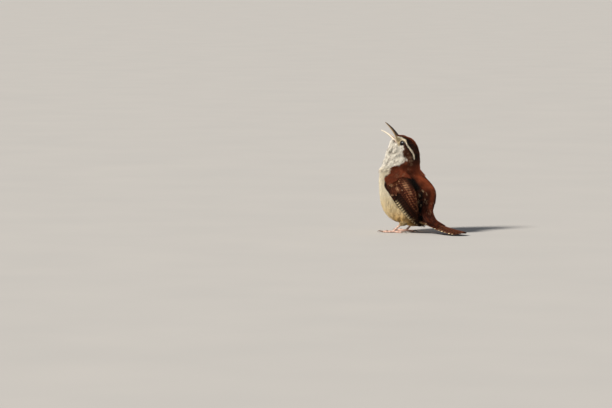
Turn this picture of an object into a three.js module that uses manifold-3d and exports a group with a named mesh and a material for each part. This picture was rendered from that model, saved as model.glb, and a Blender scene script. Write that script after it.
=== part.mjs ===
import * as THREE from "three";
import { mergeVertices } from "three/addons/utils/BufferGeometryUtils.js";
import Module from "manifold-3d";

// A Carolina wren singing: upright body, head thrown back, bill open, wings folded and drooped.
// Life size, in millimetres, +Z up. The bird faces -Y and its left side is at +X. It stands on
// both feet with the tip of its tail laid at the same level, and the origin is at the middle of
// its footprint's box.

const wasm = await Module();
wasm.setup();

const degrees = THREE.MathUtils.degToRad;
const { lerp, smoothstep } = THREE.MathUtils;

// Clearance between pieces that touch, and the thickness of a flight feather's vane
const GAP = 0.3;
const VANE_THICKNESS = 0.6;

// Head pose
const HEAD_PITCH = degrees(54);
const HEAD_TURN = degrees(14);
const TURN_AXIS_Y = 5;
const TURN_FROM_Z = 50;
const TURN_TO_Z = 68;
const EYES_MIDDLE = new THREE.Vector3(0, 6.3, 79.6);

// The trunk from the vent to the forehead: centre of each section in the mid plane, then its half
// width and its reach towards the back and towards the belly
const TRUNK = [
  { y: 25.6, z: 8.4, side: 2.0, back: 2.6, belly: 1.5 },
  { y: 23.2, z: 11.4, side: 8.9, back: 12.4, belly: 7.2 },
  { y: 18.8, z: 17.0, side: 14.4, back: 19.6, belly: 14.6 },
  { y: 14.4, z: 24.0, side: 18.0, back: 24.6, belly: 23.3 },
  { y: 10.6, z: 32.0, side: 20.0, back: 25.3, belly: 27.0 },
  { y: 7.6, z: 41.0, side: 19.4, back: 21.0, belly: 25.9 },
  { y: 5.4, z: 50.0, side: 16.8, back: 15.0, belly: 23.4 },
  { y: 5.2, z: 58.0, side: 14.2, back: 14.5, belly: 18.3 },
  { y: 5.9, z: 65.5, side: 12.2, back: 14.0, belly: 17.4 },
  { y: 6.1, z: 71.6, side: 10.3, back: 12.9, belly: 17.2 },
  { y: 4.5, z: 76.8, side: 8.9, back: 11.3, belly: 16.8 },
  { y: 1.6, z: 80.9, side: 6.8, back: 7.6, belly: 14.2 },
  { y: -1.2, z: 84.2, side: 3.9, back: 4.1, belly: 9.4 },
  { y: -2.6, z: 86.0, side: 1.6, back: 1.5, belly: 3.6 },
];
const TRUNK_RINGS = 40;
// Sections stand square to the line between two places this share apart, so that they don't cross
const TRUNK_LEVELLING = 0.08;
const TRUNK_SIDES = 28;

// Where the thin cuts part torso, neck and head, as shares of the trunk's line
const NECK_BASE = 0.56;
const HEAD_BASE = 0.668;

// A solid from a closed geometry, turned right side out if its faces point inwards
function solid(geometry) {
  const plain = geometry.index ? geometry.toNonIndexed() : geometry.clone();
  const bare = new THREE.BufferGeometry().setAttribute("position", plain.getAttribute("position"));
  const merged = mergeVertices(bare, 1e-4);
  const triVerts = new Uint32Array(merged.index.array);
  const build = () =>
    new wasm.Manifold(
      new wasm.Mesh({ numProp: 3, vertProperties: merged.attributes.position.array, triVerts }),
    );
  const made = build();
  if (made.volume() > 0) return made;
  for (let i = 0; i < triVerts.length; i += 3) {
    [triVerts[i + 1], triVerts[i + 2]] = [triVerts[i + 2], triVerts[i + 1]];
  }
  return build();
}

function geometryOf(made) {
  const mesh = made.getMesh();
  const points = new Float32Array(mesh.numVert * 3);
  for (let i = 0; i < mesh.numVert; i++) {
    const start = i * mesh.numProp;
    points.set(mesh.vertProperties.subarray(start, start + 3), i * 3);
  }
  const geometry = new THREE.BufferGeometry();
  geometry.setAttribute("position", new THREE.BufferAttribute(points, 3));
  geometry.setIndex(new THREE.BufferAttribute(new Uint32Array(mesh.triVerts), 1));
  geometry.computeVertexNormals();
  return geometry;
}

function joined(pieces) {
  return pieces.reduce((whole, piece) => whole.add(piece));
}

// Joining and cutting can leave a loose scrap or a sealed hollow. Only the largest surface stays.
function largest(made) {
  const parts = made.simplify(0.02).decompose().filter((part) => part.volume() > 0);
  return parts.reduce((best, part) => (part.volume() > best.volume() ? part : best));
}

// A closed skin over rings of points, with a fan over each end
function loft(rings) {
  const sides = rings[0].length;
  const points = rings.flat();
  const faces = [];
  for (let r = 0; r + 1 < rings.length; r++) {
    for (let i = 0; i < sides; i++) {
      const [a, b] = [r * sides + i, r * sides + ((i + 1) % sides)];
      faces.push(a, b, b + sides, a, b + sides, a + sides);
    }
  }
  for (const [start, turn] of [[0, -1], [(rings.length - 1) * sides, 1]]) {
    const centre = new THREE.Vector3();
    for (let i = 0; i < sides; i++) centre.addScaledVector(points[start + i], 1 / sides);
    points.push(centre);
    for (let i = 0; i < sides; i++) {
      const [a, b] = [start + i, start + ((i + 1) % sides)];
      faces.push(...(turn > 0 ? [a, b, points.length - 1] : [b, a, points.length - 1]));
    }
  }
  return new THREE.BufferGeometry().setFromPoints(points).setIndex(faces);
}

// A round tube whose radius follows a function of the share of its length, along a curve
function taperedTube(curve, radius, { rings = 12, sides = 8 } = {}) {
  const frames = curve.computeFrenetFrames(rings - 1, false);
  const made = [];
  for (let r = 0; r < rings; r++) {
    const share = r / (rings - 1);
    const centre = curve.getPointAt(share);
    const ring = [];
    for (let i = 0; i < sides; i++) {
      const turn = (2 * Math.PI * (i + 0.5)) / sides;
      ring.push(
        centre
          .clone()
          .addScaledVector(frames.normals[r], radius(share) * Math.cos(turn))
          .addScaledVector(frames.binormals[r], radius(share) * Math.sin(turn)),
      );
    }
    made.push(ring);
  }
  return solid(loft(made));
}

// A feather: a thin cambered blade with a rounded tip, laid on a surface that place(along, across,
// lift) describes. Both faces are split alike, so that they stay apart where the surface curves.
// Broad feathers have a third line of points down the shaft, and so a camber.
function feather(place, shape) {
  const { from, to, bow = 0, width, lift, tipWidth = 0.35, thick = VANE_THICKNESS } = shape;
  const { rows = 5, sides = [-1, 1] } = shape;
  const columns = sides.length;
  const upper = [];
  const lower = [];
  for (let row = 0; row < rows; row++) {
    const share = row / (rows - 1);
    const along = lerp(from[0], to[0], share);
    const middle = lerp(from[1], to[1], share) + bow * 4 * share * (1 - share);
    const rounded = Math.sqrt(Math.max(0, 1 - Math.pow(Math.max(0, share - 0.7) / 0.31, 2)));
    const half = (width / 2) * Math.max(tipWidth, rounded) * (0.7 + 0.3 * Math.min(1, share * 3));
    for (const side of sides) {
      const height = lerp(lift[0], lift[1], share) + 0.05 * width * (1 - side * side);
      upper.push(place(along, middle + side * half, height));
      lower.push(place(along, middle + side * half, height - thick));
    }
  }
  const points = [...upper, ...lower];
  const under = upper.length;
  const faces = [];
  const wall = (a, b) => faces.push(a, b, under + b, a, under + b, under + a);
  for (let row = 0; row + 1 < rows; row++) {
    const start = row * columns;
    for (let column = 0; column + 1 < columns; column++) {
      const [a, b] = [start + column, start + column + 1];
      const [c, d] = [a + columns, b + columns];
      faces.push(a, b, d, a, d, c);
      faces.push(under + b, under + a, under + d, under + d, under + a, under + c);
    }
    wall(start, start + columns);
    wall(start + 2 * columns - 1, start + columns - 1);
  }
  const last = (rows - 1) * columns;
  for (let column = 0; column + 1 < columns; column++) {
    wall(column + 1, column);
    wall(last + column, last + column + 1);
  }
  return solid(new THREE.BufferGeometry().setFromPoints(points).setIndex(faces));
}

// The head and neck turn to the bird's left about an upright axis, more the higher the point
function turnedHead(point) {
  const angle = HEAD_TURN * smoothstep(point.z, TURN_FROM_Z, TURN_TO_Z);
  const [x, y] = [point.x, point.y - TURN_AXIS_Y];
  return new THREE.Vector3(
    x * Math.cos(angle) - y * Math.sin(angle),
    TURN_AXIS_Y + x * Math.sin(angle) + y * Math.cos(angle),
    point.z,
  );
}

const trunkLine = new THREE.CatmullRomCurve3(
  TRUNK.map(({ y, z }) => new THREE.Vector3(0, y, z)), false, "catmullrom",
);
const trunkSizes = new THREE.CatmullRomCurve3(
  TRUNK.map(({ side, back, belly }) => new THREE.Vector3(side, back, belly)), false, "catmullrom",
);

function trunkForward(share) {
  const ahead = trunkLine.getPoint(Math.min(1, share + TRUNK_LEVELLING / 2));
  return ahead.sub(trunkLine.getPoint(Math.max(0, share - TRUNK_LEVELLING / 2))).normalize();
}

function trunkPoint(share, turn, grow = 0) {
  const centre = trunkLine.getPoint(share);
  const forward = trunkForward(share);
  const size = trunkSizes.getPoint(share);
  const reach = (Math.sin(turn) > 0 ? size.y : size.z) + grow;
  centre.x += (size.x + grow) * Math.cos(turn);
  centre.y += forward.z * reach * Math.sin(turn);
  centre.z -= forward.y * reach * Math.sin(turn);
  return turnedHead(centre);
}

function trunkSolid(grow = 0) {
  const rings = [];
  for (let r = 0; r < TRUNK_RINGS; r++) {
    const ring = [];
    for (let i = 0; i < TRUNK_SIDES; i++) {
      ring.push(trunkPoint(r / (TRUNK_RINGS - 1), (2 * Math.PI * i) / TRUNK_SIDES, grow));
    }
    rings.push(ring);
  }
  return solid(loft(rings));
}

// A thin flat slab across the trunk, to part it
function trunkCut(share) {
  const slab = new THREE.BoxGeometry(90, 90, GAP);
  const forward = trunkForward(share);
  slab.applyQuaternion(
    new THREE.Quaternion().setFromUnitVectors(new THREE.Vector3(0, 0, 1), forward),
  );
  const centre = turnedHead(trunkLine.getPoint(share));
  slab.translate(centre.x, centre.y, centre.z);
  return solid(slab);
}

const trunk = trunkSolid();
const trunkWithGap = trunkSolid(GAP);
const [torsoBlank, neckBlank, headBlank] = trunk
  .subtract(trunkCut(NECK_BASE))
  .subtract(trunkCut(HEAD_BASE))
  .decompose()
  .sort((a, b) => a.boundingBox().min[2] - b.boundingBox().min[2]);

// The head's own axes: forward along the closed bill, up through the crown, and to its left
const headMatrix = new THREE.Matrix4()
  .makeRotationZ(HEAD_TURN)
  .multiply(
    new THREE.Matrix4().makeBasis(
      new THREE.Vector3(1, 0, 0),
      new THREE.Vector3(0, -Math.cos(HEAD_PITCH), Math.sin(HEAD_PITCH)),
      new THREE.Vector3(0, Math.sin(HEAD_PITCH), Math.cos(HEAD_PITCH)),
    ),
  );
headMatrix.setPosition(turnedHead(EYES_MIDDLE));
function headPoint(left, forward, up) {
  return new THREE.Vector3(left, forward, up).applyMatrix4(headMatrix);
}

// Eyes: balls sunk in sockets, each with a raised ring of lid round it
const EYE_RADIUS = 2.6;
const EYE_OUT = 6.9;
const EYE_TOE_IN = degrees(12);
const LID_RADIUS = 2.05;
const LID_THICKNESS = 0.4;
function ball(radius, centre, detail = 16) {
  const sphere = new THREE.SphereGeometry(radius, detail, Math.round(detail * 0.6));
  return solid(sphere.translate(centre.x, centre.y, centre.z));
}
function eye(left) {
  return ball(EYE_RADIUS, headPoint(left * EYE_OUT, 0, 0));
}
function socket(left) {
  return ball(EYE_RADIUS + GAP, headPoint(left * EYE_OUT, 0, 0));
}
function lid(left) {
  const ring = new THREE.TorusGeometry(LID_RADIUS, LID_THICKNESS, 6, 20);
  ring.rotateY(left * (Math.PI / 2));
  ring.rotateZ(left * EYE_TOE_IN);
  ring.translate(left * (EYE_OUT + 1.45), 0.2, 0);
  return solid(ring.applyMatrix4(headMatrix));
}

// Bill: two mandibles that part at the corner of the gape, each a slender decurved half cone
const GAPE = { forward: 2.5, up: -4.5, halfWidth: 4.9 };
const UPPER_BILL = { length: 22.3, rise: degrees(4), depth: 3.1, halfWidth: 2.9, sag: 1.15 };
const LOWER_BILL = { length: 21.2, rise: degrees(-18), depth: -2.1, halfWidth: 2.7, sag: 0.95 };
const BILL_RINGS = 12;
function mandible({ length, rise, depth, halfWidth, sag }) {
  const rings = [];
  for (let r = 0; r < BILL_RINGS; r++) {
    const share = 0.12 + (0.88 * r) / (BILL_RINGS - 1);
    const taper = Math.pow(1 - share, 0.8) + 0.035;
    const half = (halfWidth * taper) / 0.9;
    const high = depth * (0.2 + 0.8 * Math.pow(1 - share, 0.75));
    const arch = sag * 4 * share * (1 - share);
    const ring = [];
    for (let i = 0; i <= 6; i++) {
      const turn = (Math.PI * i) / 6;
      ring.push([half * Math.cos(turn), high * Math.sin(turn)]);
    }
    ring.push([-0.45 * half, 0.1 * high], [0.45 * half, 0.1 * high]);
    rings.push(
      ring.map(([left, up]) => {
        const [forward, height] = [share * length, up + arch];
        return headPoint(
          left,
          GAPE.forward + forward * Math.cos(rise) - height * Math.sin(rise),
          GAPE.up + forward * Math.sin(rise) + height * Math.cos(rise),
        );
      }),
    );
  }
  return solid(loft(rings));
}

// The mouth between the mandibles, cut as a wedge from the corners of the gape
function mouthWedge() {
  const reach = 14;
  const width = GAPE.halfWidth;
  const outline = new THREE.Shape();
  outline.moveTo(GAPE.forward - 0.6, GAPE.up + 0.1);
  for (const rise of [LOWER_BILL.rise + degrees(1.5), UPPER_BILL.rise]) {
    const arch = rise > 0 ? 0.9 : 0.6;
    outline.lineTo(
      GAPE.forward + reach * Math.cos(rise),
      GAPE.up + reach * Math.sin(rise) + arch,
    );
  }
  const wedge = new THREE.ExtrudeGeometry(outline, { depth: 2 * width, bevelEnabled: false });
  const toHead = new THREE.Matrix4().makeBasis(
    new THREE.Vector3(0, 1, 0), new THREE.Vector3(0, 0, 1), new THREE.Vector3(1, 0, 0),
  );
  wedge.translate(0, 0, -width);
  return solid(wedge.applyMatrix4(toHead).applyMatrix4(headMatrix));
}

// Nostrils: a slit in each side of the upper mandible, just ahead of the feathers
function nostril(left) {
  const slit = new THREE.SphereGeometry(1, 10, 6).scale(0.55, 1.2, 0.42);
  slit.rotateX(UPPER_BILL.rise);
  slit.translate(left * 2.15, 11.2, -2.0);
  return solid(slit.applyMatrix4(headMatrix));
}

function tongue() {
  const { rise } = LOWER_BILL;
  const up = (forward) => GAPE.up + forward * Math.sin(rise) + 0.2;
  const at = (forward, height) => headPoint(0, GAPE.forward + forward * Math.cos(rise), height);
  const line = new THREE.CatmullRomCurve3([
    at(3.5, up(3.5) + 0.75), at(8, up(8) + 1.15), at(13, up(13) + 1.35),
  ]);
  return taperedTube(line, (share) => 0.62 - 0.42 * share, { rings: 7, sides: 8 });
}

const sockets = joined([socket(1), socket(-1)]);
const upperBlank = mandible(UPPER_BILL);
const lowerBlank = mandible(LOWER_BILL);
const head = largest(
  headBlank
    .add(lid(1)).add(lid(-1))
    .subtract(mouthWedge())
    .subtract(sockets),
);
const upperBill = largest(
  upperBlank.subtract(trunkWithGap).subtract(nostril(1)).subtract(nostril(-1)),
);
const lowerBill = largest(lowerBlank.subtract(trunkWithGap));

// Wings: folded along the flanks. A point on a wing is given by its distance from the wrist
// towards the tip, its distance up from the lower edge's line, and its lift off the body.
const WRIST = new THREE.Vector3(17.9, 0.3, 50);
const WING_TIP = new THREE.Vector3(9.4, 26.6, 5.4);
const WING_UPPER_EDGE = new THREE.Vector3(6.9, 24.3, 53);
const WING_CROWN = 7.5;
const WING_CROWN_AT = 23.5;
const WING_ROUND_RADIUS = 25;
const WING_ROUND_MIDDLE = 9.5;
const WING_RUMP_REACH = 16;
// The inner upper part of the folded wing sinks in beside the back
const WING_HOLLOW = { depth: 2.8, along: 11, reach: 12, from: 8, to: 18 };
const wingAlong = WING_TIP.clone().sub(WRIST).normalize();
const wingOut = wingAlong.clone().cross(WING_UPPER_EDGE.clone().sub(WRIST)).normalize();
const wingUp = wingOut.clone().cross(wingAlong);
function wingPoint(along, across, lift) {
  const crown = WING_CROWN * (1 - Math.pow(along / WING_CROWN_AT - 1, 2));
  const behind = Math.max(0, along - WING_CROWN_AT) / WING_RUMP_REACH;
  const rump = 0.7 * Math.exp(across / 8.5) * behind * behind;
  const beside = smoothstep(across, WING_HOLLOW.from, WING_HOLLOW.to);
  const fade = Math.exp(-Math.pow((along - WING_HOLLOW.along) / WING_HOLLOW.reach, 2));
  const hollow = WING_HOLLOW.depth * beside * fade;
  const round = Math.pow(across - WING_ROUND_MIDDLE, 2) / (2 * WING_ROUND_RADIUS);
  return WRIST.clone()
    .addScaledVector(wingAlong, along)
    .addScaledVector(wingUp, across)
    .addScaledVector(wingOut, lift + crown - round - rump - hollow);
}

// Feathers of the folded wing, in the tiers that lie over one another
function primaries() {
  const tips = [43.5, 48.5, 51.8, 52.3, 50.6, 47.6];
  return tips.map((tip, i) => ({
    from: [12, -3.4 + 0.6 * i], to: [tip, -1.6 + 0.95 * i], bow: -1.9 + 0.3 * i,
    width: 2.6, lift: [1.1 + 0.12 * i, 1.1 + 0.16 * i],
  }));
}
function secondaries() {
  return Array.from({ length: 5 }, (_, i) => ({
    from: [12, 1.6 + 1.5 * i], to: [45 - 1.2 * i, 3.1 + 1.15 * i], bow: 0.4 + 0.4 * i,
    width: 3.1, lift: [1.6 + 0.08 * i, 1.9 + 0.1 * i],
  }));
}
function tertials() {
  return [0, 1, 2].map((i) => ({
    from: [8, 8.4 + 1.7 * i], to: [40 - 4.6 * i, 7.7 + 2.2 * i], bow: 1.7 + 0.3 * i,
    width: 6.2 - 0.4 * i, lift: [1.8 + 0.15 * i, 2.4 + 0.25 * i], sides: [-1, 0, 1],
  }));
}
function greaterCoverts() {
  return Array.from({ length: 8 }, (_, i) => ({
    from: [4, -3.6 + 2.15 * i], to: [17.5 + 0.25 * i, -3.9 + 2.4 * i], bow: 0,
    width: 3.2, lift: [1.5, 2.4 + 0.04 * i], rows: 4,
  }));
}
function medianCoverts() {
  return Array.from({ length: 7 }, (_, i) => ({
    from: [-2, -2.2 + 2.1 * i], to: [8.8, -2.9 + 2.4 * i], bow: 0,
    width: 3.2, lift: [1.9, 2.9 + 0.04 * i], rows: 4,
  }));
}
function alula() {
  return [0, 1].map((i) => ({
    from: [2, -3.2 - 0.6 * i], to: [16 - 4 * i, -4.9 - 0.3 * i], bow: -0.5,
    width: 2.6, lift: [1.9 + 0.3 * i, 2.0 + 0.5 * i], rows: 4,
  }));
}
// The arm and hand under the coverts, as one broad pad that reaches into the flank
const WING_PAD = {
  from: [-5, 5.2], to: [33, 5.0], bow: 0.5, width: 19.5, lift: [1.3, 1.2], thick: 4.5,
  tipWidth: 0.4, sides: [-1, -0.5, 0, 0.5, 1],
};
function leftWing() {
  const tiers = [primaries, secondaries, tertials, greaterCoverts, medianCoverts, alula];
  const blades = tiers.flatMap((tier) => tier()).map((shape) => feather(wingPoint, shape));
  return largest(joined([feather(wingPoint, WING_PAD), ...blades]).subtract(trunkWithGap));
}

// Tail: twelve feathers in six tiers, the middle pair on top, laid down to the floor's level
const TAIL_ROOT = { y: 19, z: 16.4 };
const TAIL_LENGTH = 53;
const TAIL_SLOPE_AT_ROOT = degrees(26);
const TAIL_SLOPE_AT_TIP = degrees(6);
const TAIL_ROOF_RADIUS = 40;
function tailPoint(along, across, lift) {
  const bend = TAIL_LENGTH / (TAIL_SLOPE_AT_ROOT - TAIL_SLOPE_AT_TIP);
  const slope = TAIL_SLOPE_AT_ROOT - along / bend;
  const height = lift - (across * across) / (2 * TAIL_ROOF_RADIUS);
  return new THREE.Vector3(
    across,
    TAIL_ROOT.y + bend * (Math.sin(TAIL_SLOPE_AT_ROOT) - Math.sin(slope)) + height * Math.sin(slope),
    TAIL_ROOT.z - bend * (Math.cos(slope) - Math.cos(TAIL_SLOPE_AT_ROOT)) + height * Math.cos(slope),
  );
}
function tailFeathers() {
  const shortfalls = [0.8, 0, 0.3, 1.2, 2.8, 5.4];
  return shortfalls.flatMap((shortfall, pair) =>
    [-1, 1].map((side) => ({
      from: [0, side * (0.35 + 0.5 * pair)],
      to: [TAIL_LENGTH - shortfall, side * (0.9 + 1.05 * pair)],
      bow: side * 0.2 * pair,
      width: 5.8,
      lift: [1.5 - 0.42 * pair + 0.1 * side, 1.5 - 0.42 * pair + 0.1 * side],
    })),
  );
}
function tailCoverts() {
  const upper = [-2, -1, 0, 1, 2].map((i) => ({
    from: [-2, 1.6 * i], to: [13 - Math.abs(i), 1.5 * i], width: 5,
    lift: [3.4 - 0.3 * Math.abs(i), 2.5 - 0.3 * Math.abs(i)],
  }));
  const lower = [-1, 0, 1].map((i) => ({
    from: [-2, 1.8 * i], to: [17 - 2 * Math.abs(i), 1.5 * i], width: 5,
    lift: [-2.2 + 0.3 * Math.abs(i), -0.9 + 0.2 * Math.abs(i)],
  }));
  return [...upper, ...lower];
}
const TAIL_STUMP = {
  from: [-3, 0], to: [12, 0], width: 8, lift: [3.0, 1.6], thick: 4.2, tipWidth: 0.5, rows: 4,
};
// Everything under the level of the feet is cut away, which leaves the small flats it rests on
const belowFloor = solid(new THREE.BoxGeometry(200, 200, 20).translate(0, 30, -10));
function tail() {
  const blades = [...tailFeathers(), ...tailCoverts(), TAIL_STUMP].map((shape) =>
    feather(tailPoint, shape),
  );
  return largest(joined(blades).subtract(trunkWithGap).subtract(belowFloor));
}

// Legs: a feathered thigh that ends just under the belly, a bare tarsus with scutes down its
// front, and a foot of three toes ahead and one behind
const STANCE = { left: { x: 9.2, y: 0.6 }, right: { x: -9.6, y: 2.2 } };
const TARSUS_LENGTH = 20;
const TARSUS_RISE = degrees(41);
const TARSUS_LEAN_IN = 2.2;
const ANKLE_Z = 1.7;
const THIGH_END = 0.44;
const SCUTES = 8;
function legPoint({ x, y }, share) {
  const run = TARSUS_LENGTH * share;
  return new THREE.Vector3(
    x - Math.sign(x) * TARSUS_LEAN_IN * share,
    y + run * Math.cos(TARSUS_RISE),
    ANKLE_Z + run * Math.sin(TARSUS_RISE),
  );
}
function tarsus(place) {
  const line = new THREE.LineCurve3(legPoint(place, 0.04), legPoint(place, 1.1));
  const radius = (share) => {
    const scute = 0.14 * (1 - ((share * SCUTES) % 1));
    const ends = 0.35 * Math.pow(Math.abs(2 * share - 1), 6);
    return 0.78 + scute * (share < 0.95 ? 1 : 0) + ends;
  };
  return taperedTube(line, radius, { rings: 33, sides: 10 });
}
function thigh(place, grow = 0) {
  const line = new THREE.LineCurve3(legPoint(place, THIGH_END - grow / 20), legPoint(place, 0.85));
  const radius = (share) => 1.5 + 2.6 * Math.pow(share, 0.8) + grow;
  return taperedTube(line, radius, { rings: 6, sides: 16 });
}

// A toe's angle from straight ahead, length, and its claw's length
const TOES = {
  inner: { angle: degrees(-24), length: 8.5, claw: 3.6 },
  middle: { angle: degrees(0), length: 12.5, claw: 4.0 },
  outer: { angle: degrees(22), length: 9.5, claw: 3.6 },
  hind: { angle: degrees(180), length: 8.0, claw: 5.4 },
};
const TOE_RADIUS = 0.86;
const TOE_Z = 0.78;
const TOE_SPLAY = degrees(6);
function toeDirection(place, { angle }) {
  const turn = angle * Math.sign(place.x) + TOE_SPLAY * Math.sign(place.x);
  return new THREE.Vector3(Math.sin(turn), -Math.cos(turn), 0);
}
function toe(place, shape) {
  const way = toeDirection(place, shape);
  const at = (run, z) => new THREE.Vector3(place.x + way.x * run, place.y + way.y * run, z);
  const line = new THREE.CatmullRomCurve3([
    at(0, ANKLE_Z - 0.3), at(shape.length * 0.3, TOE_Z + 0.12), at(shape.length, TOE_Z),
  ]);
  const pads = shape.length > 9 ? 3 : 2;
  const radius = (share) => {
    const end = Math.sqrt(Math.max(0.12, 1 - Math.pow(Math.max(0, share - 0.88) / 0.125, 2)));
    return (TOE_RADIUS + 0.14 * Math.cos(2 * Math.PI * pads * share)) * (1.06 - 0.16 * share) * end;
  };
  return taperedTube(line, radius, { rings: 10, sides: 6 });
}
function claw(place, shape) {
  const way = toeDirection(place, shape);
  const at = (run, z) =>
    new THREE.Vector3(
      place.x + way.x * (shape.length + GAP + run),
      place.y + way.y * (shape.length + GAP + run),
      z,
    );
  const line = new THREE.CatmullRomCurve3([
    at(0, 0.95), at(shape.claw * 0.35, 1.35), at(shape.claw * 0.75, 1.05), at(shape.claw, 0.25),
  ]);
  return taperedTube(line, (share) => 0.52 * Math.pow(1 - share, 0.7) + 0.1, { rings: 7, sides: 6 });
}
function foot(place) {
  const pieces = Object.values(TOES).map((shape) => toe(place, shape));
  pieces.push(ball(1.15, new THREE.Vector3(place.x, place.y, ANKLE_Z - 0.35), 10));
  const shank = new THREE.LineCurve3(legPoint(place, 0.0), legPoint(place, 0.3));
  const shankRoom = taperedTube(shank, () => 1.6, { rings: 3, sides: 10 });
  return largest(joined(pieces).subtract(belowFloor).subtract(shankRoom));
}

// Materials, one per kind of surface
function finish(color, roughness) {
  return new THREE.MeshStandardMaterial({ color, roughness, metalness: 0 });
}
const crownBrown = finish(0x4a2a1e, 0.85);
const backBrown = finish(0x7a4228, 0.85);
const throatCream = finish(0xe9dfc4, 0.9);
const wingBrown = finish(0x5f3622, 0.8);
const tailBrown = finish(0x6b4128, 0.8);
const thighBuff = finish(0xcdb48a, 0.9);
const legPink = finish(0xc9968a, 0.55);
const clawHorn = finish(0x8c7468, 0.4);
const billUpperHorn = finish(0x6f665c, 0.4);
const billLowerHorn = finish(0xd9c9b4, 0.4);
const tonguePink = finish(0xd98f86, 0.35);
const eyeBlack = finish(0x0b0908, 0.08);

const wren = new THREE.Group();
function addNode(name, made, material) {
  const mesh = new THREE.Mesh(geometryOf(made), material);
  mesh.name = name;
  wren.add(mesh);
}

const leftWingSolid = leftWing();
const rightWingSolid = leftWingSolid.mirror([1, 0, 0]);
const thighs = { left: thigh(STANCE.left), right: thigh(STANCE.right) };

addNode("head", head, crownBrown);
addNode("neck", neckBlank, throatCream);
addNode("torso", torsoBlank, backBrown);
addNode("bill_upper", upperBill, billUpperHorn);
addNode("bill_lower", lowerBill, billLowerHorn);
addNode("tongue", tongue(), tonguePink);
addNode("eye_left", eye(1), eyeBlack);
addNode("eye_right", eye(-1), eyeBlack);
addNode("wing_left", leftWingSolid, wingBrown);
addNode("wing_right", rightWingSolid, wingBrown);
addNode("tail", tail(), tailBrown);
for (const side of ["left", "right"]) {
  const place = STANCE[side];
  addNode(`thigh_${side}`, largest(thighs[side].subtract(trunkWithGap)), thighBuff);
  addNode(
    `tarsus_${side}`,
    largest(tarsus(place).subtract(thigh(place, GAP)).subtract(trunkWithGap)),
    legPink,
  );
  addNode(`foot_${side}`, foot(place), legPink);
  for (const [name, shape] of Object.entries(TOES)) {
    addNode(`claw_${side}_${name}`, claw(place, shape), clawHorn);
  }
}

// The origin goes to the middle of the box's bottom
const box = new THREE.Box3().setFromObject(wren);
const middle = box.getCenter(new THREE.Vector3());
wren.position.set(-middle.x, -middle.y, -box.min.z);

export default wren;
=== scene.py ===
"""A Carolina wren in song, life size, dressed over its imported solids.

Lengths are millimetres along the bird's own axes until in_frame() turns them into metres of the
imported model: the bird faces -Y, its left side is at +X, and +Z is up. Markings and forms repeat
from side to side, and only the head's turn tells them apart.
"""

import math

import bpy
import numpy as np
from mathutils import Matrix, Vector
from mathutils.kdtree import KDTree


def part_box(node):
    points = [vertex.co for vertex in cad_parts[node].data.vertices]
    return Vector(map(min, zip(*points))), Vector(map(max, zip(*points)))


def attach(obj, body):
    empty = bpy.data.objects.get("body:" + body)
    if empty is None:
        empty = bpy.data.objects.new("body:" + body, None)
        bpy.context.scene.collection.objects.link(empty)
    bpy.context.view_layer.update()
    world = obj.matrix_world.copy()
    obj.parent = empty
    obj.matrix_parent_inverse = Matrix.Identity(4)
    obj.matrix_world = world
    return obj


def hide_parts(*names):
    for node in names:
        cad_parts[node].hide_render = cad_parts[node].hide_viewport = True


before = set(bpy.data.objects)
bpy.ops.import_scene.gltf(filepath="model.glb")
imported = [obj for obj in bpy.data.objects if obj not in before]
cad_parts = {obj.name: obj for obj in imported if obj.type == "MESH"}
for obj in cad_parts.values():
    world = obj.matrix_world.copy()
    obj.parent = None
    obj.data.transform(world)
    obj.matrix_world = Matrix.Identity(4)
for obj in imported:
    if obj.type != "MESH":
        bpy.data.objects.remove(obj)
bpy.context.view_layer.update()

# Camera: a long lens a little above the bird's feet, as far off as shows the bird as small as in
# the photograph, with its feet at the same place in the picture.
EYES_MIDDLE = (-0.31, 6.26, 79.6)
CAMERA_AZIMUTH = math.radians(125)
CAMERA_ELEVATION = math.radians(4.5)
LENS = 200
SENSOR = 36
PICTURE = (612, 408)
PIXELS_PER_MM = 1.12
FEET_PIXEL = (398.8, 232)
NEAREST = 0.05
FARTHEST = 200


def box_middle(name):
    low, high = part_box(name)
    return np.array((low + high) / 2)


ORIGIN = (box_middle("eye_left") + box_middle("eye_right")) / 2 - np.array(EYES_MIDDLE) / 1000


def in_frame(points):
    """Points in millimetres along the bird's axes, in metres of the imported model."""
    return ORIGIN + np.asarray(points, float) / 1000


view_right = np.array([math.cos(CAMERA_AZIMUTH), math.sin(CAMERA_AZIMUTH), 0.0])
level = math.cos(CAMERA_ELEVATION)
view_back = np.array([view_right[1] * level, -view_right[0] * level, math.sin(CAMERA_ELEVATION)])
view_up = np.cross(view_back, view_right)
camera_distance = LENS / SENSOR * PICTURE[0] / PIXELS_PER_MM
camera_place = (
    view_back * camera_distance
    + view_right * (PICTURE[0] / 2 - FEET_PIXEL[0]) / PIXELS_PER_MM
    + view_up * (FEET_PIXEL[1] - PICTURE[1] / 2) / PIXELS_PER_MM
)
camera = bpy.data.objects.new("camera", bpy.data.cameras.new("camera"))
bpy.context.scene.collection.objects.link(camera)
camera.data.lens = LENS
camera.data.sensor_width = SENSOR
camera.data.clip_start = NEAREST
camera.data.clip_end = FARTHEST
camera_axes = np.stack([view_right, view_up, view_back, in_frame(camera_place)], 1)
camera.matrix_world = Matrix([*camera_axes, (0, 0, 0, 1)])
bpy.context.scene.camera = camera
bpy.context.scene.view_settings.view_transform = "Standard"

# Studio: a wide floor of pale matt paper under a soft grey surround, a broad high key light from
# the left of the picture, a warm rim light from behind that edges the back, and a small lamp that
# shines on the eyes alone.
FLOOR_REACH = 60.0
FLOOR_PAPER = "#B9B9B8"
FLOOR_MOTTLE = "#C1C0BE"
SURROUND = "#D5DAE2"
SURROUND_STRENGTH = 0.28


def linear(code):
    """An sRGB hex colour as linear red, green, blue and alpha."""
    parts = [int(code[i : i + 2], 16) / 255 for i in (1, 3, 5)]
    return [p / 12.92 if p <= 0.04045 else ((p + 0.055) / 1.055) ** 2.4 for p in parts] + [1.0]


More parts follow.
